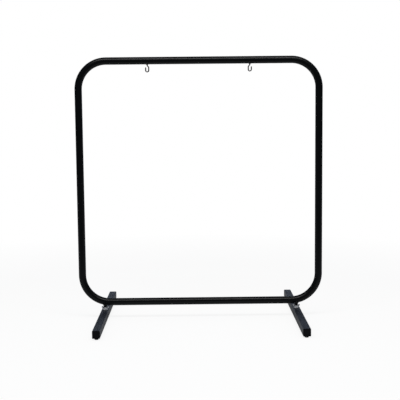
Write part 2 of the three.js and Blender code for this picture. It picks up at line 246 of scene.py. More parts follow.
def lies_at(edge: bmesh.types.BMEdge, axis: int, level: float) -> bool:
    """Whether both ends of an edge lie at a level along an axis."""
    return all(abs(vertex.co[axis] - level) < MERGE_DISTANCE for vertex in edge.verts)


def round_edges(piece: Piece, radius: float, steps: int, wanted: Callable[..., bool]) -> None:
    """Rounds off some edges of a piece.

    Args:
        piece: The piece.
        radius: The radius of the rounding.
        steps: How many stretches the rounding has.
        wanted: Says of one edge whether it is rounded.
    """
    with editing(piece, "EDGE"):
        pick(piece, "edges", wanted)
        bpy.ops.mesh.bevel(offset=radius, segments=steps, affect="EDGES", profile=0.5)


def apply_modifier(piece: Piece, kind: str, **settings: object) -> None:
    """Adds a modifier to a piece and applies it.

    Args:
        piece: The piece to change.
        kind: Blender's name for the modifier.
        **settings: The modifier's settings.
    """
    select_only(piece)
    modifier = piece.modifiers.new(kind.title(), kind)
    for setting, value in settings.items():
        setattr(modifier, setting, value)
    bpy.ops.object.modifier_apply(modifier=modifier.name)


def hollow_out(bar: Piece, wall: float, is_open: Callable[..., bool]) -> None:
    """Makes a tube of a solid bar.

    Args:
        bar: The bar.
        wall: The thickness of the tube's wall, inwards.
        is_open: Says of one face whether the tube is open there.
    """
    with editing(bar, "FACE"):
        pick(bar, "faces", is_open)
        bpy.ops.mesh.delete(type="ONLY_FACE")
    apply_modifier(bar, "SOLIDIFY", thickness=wall, offset=-1.0, use_even_offset=True)


def merge_points() -> None:
    """Merges the selected points that lie on each other, in edit mode."""
    bpy.ops.mesh.remove_doubles(threshold=MERGE_DISTANCE)


def combine(piece: Piece, cut: Cut, *tools: Piece, keep: bool = False) -> None:
    """Cuts tools out of a piece or joins them to it, one after another.

    A cut can leave double points, and the next cut needs a closed mesh, so they are merged each time.

    Args:
        piece: The piece to change.
        cut: Whether the tools are cut away or joined on.
        *tools: Closed shapes, which are used up.
        keep: Leaves the tools for another cut.
    """
    for tool in tools:
        apply_modifier(piece, "BOOLEAN", operation=cut.value, object=tool, solver="EXACT")
        with editing(piece, every=True):
            merge_points()
        if not keep:
            bpy.data.objects.remove(tool)


def close_up(piece: Piece) -> None:
    """Merges double points, fills open ends and turns all faces outwards. A wall gets its thickness later.

    Args:
        piece: The piece.
    """
    with editing(piece, every=True):
        merge_points()
        bpy.ops.mesh.fill_holes(sides=0)
        bpy.ops.mesh.select_all(action="SELECT")
        bpy.ops.mesh.normals_make_consistent(inside=False)


def copy_piece(piece: Piece, name: str, move: Matrix) -> Piece:
    """Copies a piece with a mesh of its own.

    Args:
        piece: The piece to copy.
        name: The name of the copy.
        move: Where the copy goes, applied to its mesh.

    Returns:
        The copy.
    """
    twin = piece.copy()
    twin.data = piece.data.copy()
    twin.name = twin.data.name = name
    twin.data.transform(move)
    bpy.context.scene.collection.objects.link(twin)
    return twin


def turn_about(middle: Vector, angle: float, axis: str) -> Matrix:
    """A turn about a line through a point, along X, Y or Z."""
    return Matrix.Translation(middle) @ Matrix.Rotation(angle, 4, axis) @ Matrix.Translation(-middle)


def start_ring(
    name: str, radius: float, sides: int, middle: Vector, turn: Sequence[float] = (0, 0, 0)
) -> Piece:
    """Adds the ring of points that a shape is drawn out of.

    Args:
        name: The name of the shape.
        radius: The radius of the ring.
        sides: How many points the ring has.
        middle: The middle of the ring.
        turn: How far the ring is turned about X, Y and Z from lying flat.

    Returns:
        The shape, so far only the ring.
    """
    add = bpy.ops.mesh.primitive_circle_add
    settings = {"vertices": sides, "radius": radius, "fill_type": "NOTHING"}
    return start_piece(name, add, **settings, location=middle, rotation=turn)


def draw_out(step: Vector) -> None:
    """Draws a further ring out of the selected one."""
    bpy.ops.mesh.extrude_region_move(TRANSFORM_OT_translate={"value": step})


def resize_ring(size: Sequence[float], middle: Vector) -> None:
    """Resizes the selected ring along X, Y and Z about its middle."""
    bpy.ops.transform.resize(value=size, center_override=middle)


class Bender:
    """Draws a ring of points out into a bar, along straight runs and round bends, as a tube bender does."""

    def __init__(self, name: str, start: Vector, heading: Vector, radius: float, sides: int) -> None:
        """Adds the first ring.

        Args:
            name: The name of the bar.
            start: The middle of the first ring.
            heading: The direction of the first run.
            radius: The radius of the bar.
            sides: How many points the ring has.
        """
        self.bar = start_ring(name, radius, sides, start, heading.to_track_quat("Z", "Y").to_euler())
        self.place = start.copy()
        self.heading = heading.normalized()
        self.radius = radius

    def run(self, length: float) -> None:
        """Draws the last ring straight on.

        Args:
            length: The length of the run.
        """
        step = self.heading * length
        draw_out(step)
        self.place += step

    def bend(self, radius: float, toward: Vector, angle: float, steps: int) -> None:
        """Spins the last ring round a bend.

        Args:
            radius: The radius of the bend's middle line.
            toward: The direction from the bar to the centre of the bend.
            angle: How far the bar turns.
            steps: How many rings the bend has.
        """
        centre = self.place + toward * radius
        axis = self.heading.cross(toward)
        # The spin operator turns the other way round its axis.
        bpy.ops.mesh.spin(steps=steps, dupli=False, angle=-angle, center=centre, axis=axis)
        turn = Matrix.Rotation(angle, 3, axis)
        self.place = centre + turn @ (self.place - centre)
        self.heading = turn @ self.heading

    def follow(self, corners: Sequence[Vector], radii: Sequence[float], steps: int) -> None:
        """Draws the bar through corners, each rounded off by its own bend.

        Args:
            corners: The corners of the route. The first is where the bar starts.
            radii: The bend radius at each corner but the first and the last.
            steps: How many rings a bend of a right angle has.
        """
        for corner, beyond, radius in zip(corners[1:-1], corners[2:], radii, strict=True):
            ahead = (beyond - corner).normalized()
            angle = self.heading.angle(ahead)
            setback = radius * math.tan(angle / 2)
            length = (corner - self.place).dot(self.heading) - setback
            if length > MERGE_DISTANCE:
                self.run(length)
            toward = (ahead - self.heading * ahead.dot(self.heading)).normalized()
            self.bend(radius, toward, angle, max(2, round(steps * angle / RIGHT_ANGLE)))
        self.run((corners[-1] - self.place).dot(self.heading))

    def round_off(self, steps: int) -> None:
        """Ends the bar in half a ball.

        Args:
            steps: How many rings the half ball has.
        """
        base = self.place.copy()
        last = 1.0
        for step in range(1, steps):
            angle = RIGHT_ANGLE * step / steps
            self.run((base + self.heading * self.radius * math.sin(angle) - self.place).length)
            size = math.cos(angle)
            resize_ring([size / last] * 3, self.place)
            last = size
        self.run((base + self.heading * self.radius - self.place).length)
        bpy.ops.mesh.merge(type="CENTER")


def bent_bar(
    name: str,
    corners: Sequence[Vector],
    radii: Sequence[float],
    radius: float,
    sides: int,
    steps: int,
    tip_steps: int = 0,
) -> Piece:
    """Makes a closed round bar through corners.

    Args:
        name: The name of the bar.
        corners: The corners of the route.
        radii: The bend radius at each corner but the first and the last.
        radius: The radius of the bar.
        sides: How many sides the bar has.
        steps: How many rings a bend of a right angle has.
        tip_steps: How many rings the rounded far end has. Zero leaves it flat.

    Returns:
        The bar.
    """
    bender = Bender(name, corners[0], corners[1] - corners[0], radius, sides)
    with editing(bender.bar, every=True):
        bender.follow(corners, radii, steps)
        if tip_steps:
            bender.round_off(tip_steps)
    close_up(bender.bar)
    return bender.bar


def drill(name: str, radius: float, start: Vector, end: Vector, sides: int = 48) -> Piece:
    """Makes a straight round bar or cutter between two points."""
    return bent_bar(name, [start, end], [], radius, sides, steps=1)


def rounded_outline(corners: Sequence[Place], steps: int) -> list[tuple[float, float]]:
    """Rounds off the corners of an outline.

    Args:
        corners: The corners as (across, along, rounding), where a rounding of 0 stays sharp.
        steps: How many stretches a rounding has.

    Returns:
        The points of the outline.
    """
    points = []
    for index, (across, along, rounding) in enumerate(corners):
        corner = Vector((across, along))
        if not rounding:
            points.append((across, along))
            continue
        before = (Vector(corners[index - 1][:2]) - corner).normalized()
        after = (Vector(corners[index + 1][:2]) - corner).normalized()
        opening = before.angle(after)
        centre = corner + (before + after).normalized() * rounding / math.sin(opening / 2)
        first = corner + before * rounding / math.tan(opening / 2) - centre
        last = corner + after * rounding / math.tan(opening / 2) - centre
        sweep = first.angle_signed(last)
        for step in range(steps + 1):
            points.append(tuple(centre + Matrix.Rotation(-sweep * step / steps, 2) @ first))
    return points


def turned(name: str, corners: Sequence[Place], centre: Vector, sides: int = 64, steps: int = 4) -> Piece:
    """Turns a shape about an upright line, ring by ring.

    Args:
        name: The name of the shape.
        corners: The outline's corners as (radius, height, rounding). The outline starts and ends on the
            axis, or ends where it starts.
        centre: The point that the heights and radii are taken from.
        sides: How many sides the shape has.
        steps: How many stretches a rounding has.

    Returns:
        The shape.
    """
    rings = [point for point in rounded_outline(corners, steps) if point[0] > MERGE_DISTANCE]
    radius, height = rings[0]
    shape = start_ring(name, radius, sides, centre + UP * height)
    with editing(shape, every=True):
        for next_radius, next_height in rings[1:]:
            draw_out(UP * (next_height - height))
            share = next_radius / radius
            resize_ring((share, share, 1), centre + UP * next_height)
            radius, height = next_radius, next_height
    close_up(shape)
    return shape


def square_bar(
    name: str, width: float, corner: float, start: Vector, length: float, steps: int = 3
) -> Piece:
    """Makes a square bar along +Y with rounded long edges.

    Args:
        name: The name of the bar.
        width: Its width and height.
        corner: The radius of its long edges.
        start: The middle of its first end.
        length: Its length.
        steps: How many stretches a long edge's rounding has.

    Returns:
        The bar.
    """
    middle = start + Vector((0, length / 2, 0))
    bar = start_piece(
        name, bpy.ops.mesh.primitive_cube_add, size=1, location=middle, scale=(width, length, width)
    )
    round_edges(bar, corner, steps, lambda edge: spans(edge, 1) > length / 2)
    return bar


class Graph:
    """Adds nodes to one shader tree and joins them."""

    def __init__(self, tree: Group) -> None:
        """Empties the node tree of a material, group or world."""
        self.tree = tree
        tree.nodes.clear()

    def add(self, kind: str, sockets: dict | None = None, **settings: object) -> bpy.types.Node:
        """Adds a node.

        Args:
            kind: Blender's name for the node, without ShaderNode.
            sockets: Values or other nodes' outputs for its inputs, by name or number.
            **settings: The node's own settings.

        Returns:
            The node.
        """
        node = self.tree.nodes.new(f"ShaderNode{kind}")
        for setting, value in settings.items():
            setattr(node, setting, value)
        for name, value in (sockets or {}).items():
            if isinstance(value, Socket):
                self.tree.links.new(value, node.inputs[name])
            else:
                node.inputs[name].default_value = value
        return node

    def math(self, operation: str, first: object, second: object = 0.0) -> Socket:
        """Works out one number from two."""
        return self.add("Math", {0: first, 1: second}, operation=operation).outputs[0]

    def product(self, first: object, *others: object) -> Socket:
        """Multiplies numbers.

        Args:
            first: A number, or another node's output.
            *others: What it is multiplied by.

        Returns:
            The output that holds the product.
        """
        for other in others:
            first = self.math("MULTIPLY", first, other)
        return first

    def largest(self, first: object, *others: object) -> Socket:
        """Picks the largest number.

        Args:
            first: A number, or another node's output.
            *others: What it is compared with.

        Returns:
            The output that holds the largest.
        """
        for other in others:
            first = self.math("MAXIMUM", first, other)
        return first

    def remap(self, value: object, low: float, high: float, start: float = 0.0, end: float = 1.0) -> Socket:
        """Maps low to high onto start to end, with nothing beyond them."""
        sockets = {"Value": value, "From Min": low, "From Max": high, "To Min": start, "To Max": end}
        return self.add("MapRange", sockets, clamp=True).outputs[0]

    def blend_values(self, share: object, first: object, second: object) -> Socket:
        """Goes from one number to another as the share goes from 0 to 1."""
        return self.add("Mix", {0: share, 2: first, 3: second}, data_type="FLOAT").outputs[0]

    def blend_colours(self, share: object, first: object, second: object) -> Socket:
        """Goes from one colour to another as the share goes from 0 to 1."""
        return self.add("Mix", {0: share, 6: first, 7: second}, data_type="RGBA").outputs[2]

    def noise(self, place: object, size: object, detail: float = 2.0) -> Socket:
        """Uneven values from 0 to 1.

        Args:
            place: The point to read.
            size: The size of one lump, in metres.
            detail: How many finer layers lie on it.

        Returns:
            The output that holds the values.
        """
        scale = self.math("DIVIDE", 1.0, size)
        return self.add("TexNoise", {"Vector": place, "Scale": scale, "Detail": detail}).outputs["Fac"]

    def parts(self, vector: Socket) -> bpy.types.NodeOutputs:
        """Splits a vector into its X, Y and Z."""
        return self.add("SeparateXYZ", {0: vector}).outputs

    def facing(self) -> bpy.types.NodeOutputs:
        """The X, Y and Z of the direction that the surface faces."""
        return self.parts(self.add("TexCoord").outputs["Normal"])


class Effect(Graph):
    """A shader node group with a Place input, number inputs and one number output."""

    def __init__(self, name: str, **inputs: float) -> None:
        """Makes the group's inputs.

        Args:
            name: The name of the group.
            **inputs: The number inputs with their usual values.
        """
        super().__init__(bpy.data.node_groups.new(name, "ShaderNodeTree"))
        self.tree.interface.new_socket("Place", in_out="INPUT", socket_type="NodeSocketVector")
        for label, value in inputs.items():
            socket = self.tree.interface.new_socket(label, in_out="INPUT", socket_type="NodeSocketFloat")
            socket.default_value = value
        self.given = self.tree.nodes.new("NodeGroupInput").outputs

    def patches(self, size: object, detail: float) -> Socket:
        """Uneven values from 0 to 1 over the group's place."""
        return self.noise(self.given["Place"], size, detail)

    def give(self, label: str, value: Socket) -> Group:
        """Finishes the group.

        Args:
            label: The name of the group's output.
            value: What it gives out.

        Returns:
            The group.
        """
        self.tree.interface.new_socket(label, in_out="OUTPUT", socket_type="NodeSocketFloat")
        self.tree.links.new(value, self.tree.nodes.new("NodeGroupOutput").inputs[label])
        return self.tree


class Effects:
    """The surface effects that more than one finish uses, each built once."""

    def __init__(self) -> None:
        """Builds the groups."""
        self.ripple = self.make_ripple()
        self.mottle = self.make_mottle()
        self.edge_wear = self.make_edge_wear()
        self.dust = self.make_dust()
        self.scratches = self.make_scratches()

    @staticmethod
    def make_ripple() -> Group:
        """The soft skin of a sprayed or moulded surface: broad waves with a finer grain on them.

        Returns:
            The group.
        """
        effect = Effect("ripple", Size=1.6 * MM, Grain=0.3)
        size, share = effect.given["Size"], effect.given["Grain"]
        waves = effect.patches(size, detail=1.0)
        grain = effect.patches(effect.product(size, 0.3), detail=2.0)
        return effect.give("Height", effect.blend_values(share, waves, grain))

    @staticmethod
    def make_mottle() -> Group:
        """Slow unevenness over a surface, from 0 to 1.

        Returns:
            The group.
        """
        effect = Effect("mottle", Size=40 * MM, Contrast=0.5)
        lumps = effect.patches(effect.given["Size"], detail=4.0)
        spread = effect.product(effect.math("SUBTRACT", lumps, 0.5), effect.given["Contrast"], 2.0)
        return effect.give("Value", effect.remap(effect.math("ADD", spread, 0.5), 0.0, 1.0))

    @staticmethod
    def make_edge_wear() -> Group:
        """Where sharp edges and the rounded corners of square bars are rubbed, broken up by unevenness.

        Returns:
            The group.
        """
        effect = Effect("edge_wear", Reach=0.6 * MM, Patch=6 * MM, Amount=0.5, Corners=0.0)
        given = effect.given
        rounded = effect.add("Bevel", {"Radius": given["Reach"]}, samples=6).outputs[0]
        straight = effect.add("NewGeometry").outputs["Normal"]
        match = effect.add("VectorMath", {0: rounded, 1: straight}, operation="DOT_PRODUCT").outputs[1]
        facing = effect.facing()
        squarest = effect.largest(*(effect.math("ABSOLUTE", facing[axis]) for axis in "XYZ"))
        corner = effect.product(effect.remap(squarest, 0.94, 0.74), given["Corners"])
        edge = effect.largest(effect.remap(match, 0.97, 0.8), corner)
        patches = effect.remap(effect.patches(given["Patch"], detail=6.0), 0.42, 0.62)
        return effect.give("Mask", effect.product(edge, patches, given["Amount"]))

    @staticmethod
    def make_dust() -> Group:
        """Fine dust that settles where a surface faces up.

        Returns:
            The group.
        """
        effect = Effect("dust", Speck=0.8 * MM, Amount=0.2)
        upward = effect.remap(effect.facing()["Z"], 0.2, 1.0)
        specks = effect.remap(effect.patches(effect.given["Speck"], detail=3.0), 0.45, 0.8)
        drift = effect.remap(effect.patches(55 * MM, detail=3.0), 0.35, 0.7)
        return effect.give("Mask", effect.product(specks, drift, upward, effect.given["Amount"]))

    @staticmethod
    def make_scratches() -> Group:
        """Hairline scratches that wander over a surface.

        Returns:
            The group.
        """
        effect = Effect("scratches", Spacing=14 * MM, Amount=0.4)
        given = effect.given
        drawn = effect.add(
            "Mapping", {"Vector": given["Place"], "Rotation": (0.5, 0.3, 0.9), "Scale": (1, 0.12, 1)}
        )
        spacing = effect.math("DIVIDE", 1.0, given["Spacing"])
        cells = effect.add(
            "TexVoronoi", {"Vector": drawn.outputs[0], "Scale": spacing}, feature="DISTANCE_TO_EDGE"
        )
        line = effect.remap(cells.outputs["Distance"], 0.0, 0.012, 1.0, 0.0)
        broken = effect.remap(effect.patches(given["Spacing"], detail=2.0), 0.55, 0.65)
        return effect.give("Mask", effect.product(line, broken, given["Amount"]))


class Sheet(Graph):
    """One material: its shader and the effects placed in it."""

    def __init__(self, name: str) -> None:
        """Starts a material with its shader.

        Args:
            name: The name of the material.
        """
        self.material = bpy.data.materials.new(name)
        self.material.use_nodes = True
        super().__init__(self.material.node_tree)
        self.shader = self.add("BsdfPrincipled")
        self.add("OutputMaterial", {"Surface": self.shader.outputs[0]})
        self.place = self.add("TexCoord").outputs["Object"]

    def effect(self, group: Group, **values: object) -> Socket:
        """Places an effect in the material.

        Args:
            group: The effect's node group.
            **values: Its inputs, in lower case.

        Returns:
            The effect's output.
        """
        sockets = {label.capitalize(): value for label, value in values.items()}
        return self.add("Group", {"Place": self.place, **sockets}, node_tree=group).outputs[0]

    def plain(self, **values: object) -> None:
        """Sets numbers that are the same all over on the shader's own sockets."""
        for label, value in values.items():
            self.shader.inputs[label.replace("_", " ").title().replace("Ior", "IOR")].default_value = value

    def vary(self, **values: Socket) -> None:
        """Joins values that change over the surface to the shader."""
        for label, value in values.items():
            self.tree.links.new(value, self.shader.inputs[label.replace("_", " ").title()])

    def bump(self, depth: float, height: Socket) -> None:
        """Raises the surface by a height from 0 to 1, times a depth in metres."""
        node = self.add("Bump", {"Strength": 1.0, "Distance": depth, "Height": height})
        self.vary(normal=node.outputs["Normal"])


def colour(red: float, green: float, blue: float) -> Colour:
    """A solid colour from its linear parts."""
    return (red, green, blue, 1.0)


def scaled(tint: Colour, share: float, lift: float = 0.0) -> Colour:
    """A darker or paler form of a colour."""
    return colour(*(part * share + lift for part in tint[:3]))


STEEL_UNDER_PAINT = colour(0.30, 0.30, 0.31)
POLISHED_STEEL = colour(0.62, 0.61, 0.6)
SCUFFED_PLASTIC = colour(0.06, 0.06, 0.06)
DUST = colour(0.33, 0.32, 0.30)
DUST_ROUGHNESS = 0.9
POLISH_ROUGHNESS = 0.2


@dataclass(frozen=True)
class Finish:
    """What every finish has: its name, its slot, its colour and how rough it is."""

    name: str
    slot: Slot
    tint: Colour
    roughness: float

    def make(self, effects: Effects) -> bpy.types.Material:
        """Builds the material.

        Args:
            effects: The shared surface effects.

        Returns:
            The material.
        """
        sheet = Sheet(self.name)
        self.lay(sheet, effects)
        return sheet.material

    def lay(self, sheet: Sheet, effects: Effects) -> None:
        """Joins the finish's effects in its material. Each kind of finish has its own."""
        raise NotImplementedError


@dataclass(frozen=True)
class PowderCoat(Finish):
    """Black powder coat on steel: a satin skin with orange peel, light dust and rubbed edges."""

    shine: float = 0.5
    shade: float = 0.8
    sheen_range: float = 0.04
    peel_size: float = 3.0 * MM
    peel_depth: float = 0.02 * MM
    wear: float = 0.3
    corner_wear: float = 0.0
    bare_metal: float = 0.8
    hairline_dullness: float = 0.3
    dust: float = 0.1

    def lay(self, sheet: Sheet, effects: Effects) -> None:
        """Lays the coat over the steel, then its wear, hairlines, dust and orange peel.

        Args:
            sheet: The material.
            effects: The shared surface effects.
        """
        cloud = sheet.effect(effects.mottle, size=60 * MM, contrast=0.6)
        worn = sheet.effect(effects.edge_wear, amount=self.wear, corners=self.corner_wear)
        dusty = sheet.effect(effects.dust, amount=self.dust)
        hairlines = sheet.effect(effects.scratches, amount=0.25)
        paint = sheet.blend_colours(cloud, scaled(self.tint, self.shade), self.tint)
        chipped = sheet.blend_colours(worn, paint, STEEL_UNDER_PAINT)
        dull, satin = self.roughness + self.sheen_range, self.roughness - self.sheen_range
        skin = sheet.remap(cloud, 0.0, 1.0, satin, dull)
        rubbed = sheet.math("ADD", skin, sheet.product(hairlines, self.hairline_dullness))
        sheet.plain(specular_ior_level=self.shine)
        sheet.vary(
            base_color=sheet.blend_colours(dusty, chipped, DUST),
            roughness=sheet.blend_values(dusty, rubbed, DUST_ROUGHNESS),
            metallic=sheet.product(worn, self.bare_metal),
        )
        sheet.bump(self.peel_depth, sheet.effect(effects.ripple, size=self.peel_size, grain=0.25))


@dataclass(frozen=True)
class BareMetal(Finish):
    """Plated or bare steel: a metal sheen, cloudy from handling, with fine grain and hairlines."""

    tarnish: Colour
    grain_size: float = 0.35 * MM
    grain_depth: float = 0.01 * MM
    polish: float = 0.3
    metal: float = 1.0
    # How much rougher the metal is where it is tarnished, and where it is clean.
    dull_range: tuple[float, float] = (0.1, -0.05)
    hairline_dullness: float = 0.2
    rubbed_heights: tuple[float, float] | None = None

    def rub(self, sheet: Sheet) -> Socket:
        """Where a hanging load rubs: faces that look up, between two heights.

        Args:
            sheet: The material.

        Returns:
            The mask.
        """
        low, high = self.rubbed_heights
        height = sheet.parts(sheet.place)["Z"]
        upward = sheet.remap(sheet.facing()["Z"], 0.1, 0.7)
        patches = sheet.remap(sheet.noise(sheet.place, MM, detail=4.0), 0.3, 0.5)
        above = sheet.remap(height, low, low + MM)
        below = sheet.remap(height, high, high - MM)
        return sheet.product(upward, patches, above, below)

    def lay(self, sheet: Sheet, effects: Effects) -> None:
        """Lays the tarnish over the metal, then its polished edges, hairlines and grain.

        Args:
            sheet: The material.
            effects: The shared surface effects.
        """
        cloud = sheet.effect(effects.mottle, size=7 * MM, contrast=0.8)
        edges = sheet.effect(effects.edge_wear, amount=self.polish, patch=2 * MM)
        if self.rubbed_heights:
            edges = sheet.largest(edges, self.rub(sheet))
        hairlines = sheet.effect(effects.scratches, amount=0.5, spacing=5 * MM)
        skin = sheet.blend_colours(cloud, self.tarnish, self.tint)
        tarnished, clean = (self.roughness + change for change in self.dull_range)
        dull = sheet.remap(cloud, 0.0, 1.0, tarnished, clean)
        rubbed = sheet.math("ADD", dull, sheet.product(hairlines, self.hairline_dullness))
        sheet.plain(metallic=self.metal)
        sheet.vary(
            base_color=sheet.blend_colours(edges, skin, POLISHED_STEEL),
            roughness=sheet.blend_values(edges, rubbed, POLISH_ROUGHNESS),
        )
        sheet.bump(self.grain_depth, sheet.effect(effects.ripple, size=self.grain_size, grain=0.5))


@dataclass(frozen=True)
class Moulded(Finish):
    """Moulded plastic or rubber: an even dull skin with a fine grain and dust."""

    grain_size: float
    grain_depth: float
    dust: float
    shine: float
    sheen_range: float = 0.05
    pale_share: float = 1.5
    pale_lift: float = 0.004

    def lay(self, sheet: Sheet, effects: Effects) -> None:
        """Lays the skin, then its scuffs, dust and grain.

        Args:
            sheet: The material.
            effects: The shared surface effects.
        """
        cloud = sheet.effect(effects.mottle, size=9 * MM, contrast=0.5)
        scuffed = sheet.effect(effects.edge_wear, amount=0.35, patch=3 * MM)
        dusty = sheet.effect(effects.dust, amount=self.dust)
        skin = sheet.blend_colours(cloud, self.tint, scaled(self.tint, self.pale_share, self.pale_lift))
        rubbed = sheet.blend_colours(scuffed, skin, SCUFFED_PLASTIC)
        dull, satin = self.roughness + self.sheen_range, self.roughness - self.sheen_range
        sheet.plain(specular_ior_level=self.shine)
        sheet.vary(
            base_color=sheet.blend_colours(dusty, rubbed, DUST),
            roughness=sheet.remap(cloud, 0.0, 1.0, satin, dull),
        )
        sheet.bump(self.grain_depth, sheet.effect(effects.ripple, size=self.grain_size, grain=0.4))


LOOP_BLACK = colour(0.003, 0.0036, 0.0042)
# The feet's bluish black is partly the coat's own tone and partly painted sheen: it is paler and bluer than
# the loop's black so that the foot tops look as if they reflect light.
FOOT_BLACK_AND_PAINTED_SHEEN = colour(0.012, 0.015, 0.023)
FINISHES = (
    PowderCoat("loop_powder_coat", Slot.FRAME_PAINT, LOOP_BLACK, 0.3, shine=0.16),
    PowderCoat(
        "foot_powder_coat", Slot.FOOT_PAINT, FOOT_BLACK_AND_PAINTED_SHEEN, 0.42, shine=0.14, wear=0.5, corner_wear=0.35
    ),
    BareMetal(
        "blackened_steel",
        Slot.BLACK_STEEL,
        colour(0.022, 0.023, 0.025),
        0.4,
        tarnish=colour(0.011, 0.011, 0.012),
        polish=0.22,
        rubbed_heights=(1070 * MM, 1081 * MM),
    ),
    BareMetal(
        "bright_zinc", Slot.ZINC_PLATE, colour(0.8, 0.81, 0.82), 0.34, colour(0.6, 0.61, 0.63), metal=0.55
    ),
    BareMetal("plain_steel", Slot.PLAIN_STEEL, colour(0.42, 0.42, 0.42), 0.36, colour(0.25, 0.24, 0.23)),
    Moulded(
        "black_cap_plastic",
        Slot.CAP_PLASTIC,
        colour(0.002, 0.002, 0.003),
        0.5,
        grain_size=0.5 * MM,
        grain_depth=0.02 * MM,
        dust=0.1,
        shine=0.05,
    ),
    Moulded(
        "black_pad_rubber",
        Slot.PAD_RUBBER,
        colour(0.012, 0.012, 0.012),
        0.78,
        grain_size=0.9 * MM,
        grain_depth=0.04 * MM,
        dust=0.2,
        shine=0.3,
    ),
)


class Workshop:
    """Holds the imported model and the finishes, and fits each finished piece to them."""

    def __init__(self) -> None:
        """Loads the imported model, notes its box and builds the finishes."""
        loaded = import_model()
        self.nodes: dict[str, Piece] = loaded["nodes"]
        self.groups: dict[str, list[str]] = loaded["record"]["behaviour"]["bodies"]
        self.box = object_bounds()
        effects = Effects()
        self.materials = {finish.slot: finish.make(effects) for finish in FINISHES}

    def fit(self, piece: Piece, slot: Slot, node: str, crease: float = 35.0) -> None:
        """Finishes a piece and puts it in the place of a node.

        Args:
            piece: The finished mesh, in its place.
            slot: The finish that it takes.
            node: The node that it stands for.
            crease: The angle, in degrees, from which an edge stays sharp.
        """
        with editing(piece, every=True):
            merge_points()
        bpy.ops.object.shade_smooth_by_angle(angle=math.radians(crease))
        piece.data.materials.clear()
        piece.data.materials.append(self.materials[slot])
        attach(piece, next(body for body, members in self.groups.items() if node in members))
        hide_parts(node)
        log.info("%s stands for %s: %d faces", piece.name, node, len(piece.data.polygons))

    def dress_node(self, node: str, slot: Slot) -> None:
        """Gives a node that stays in view its finish.

        Args:
            node: The node.
            slot: The finish that it takes.
        """
        mesh = self.nodes[node].data
        if not mesh.materials:
            mesh.materials.append(None)
        for index in range(len(mesh.materials)):
            mesh.materials[index] = self.materials[slot]
        log.info("%s keeps its own mesh", node)


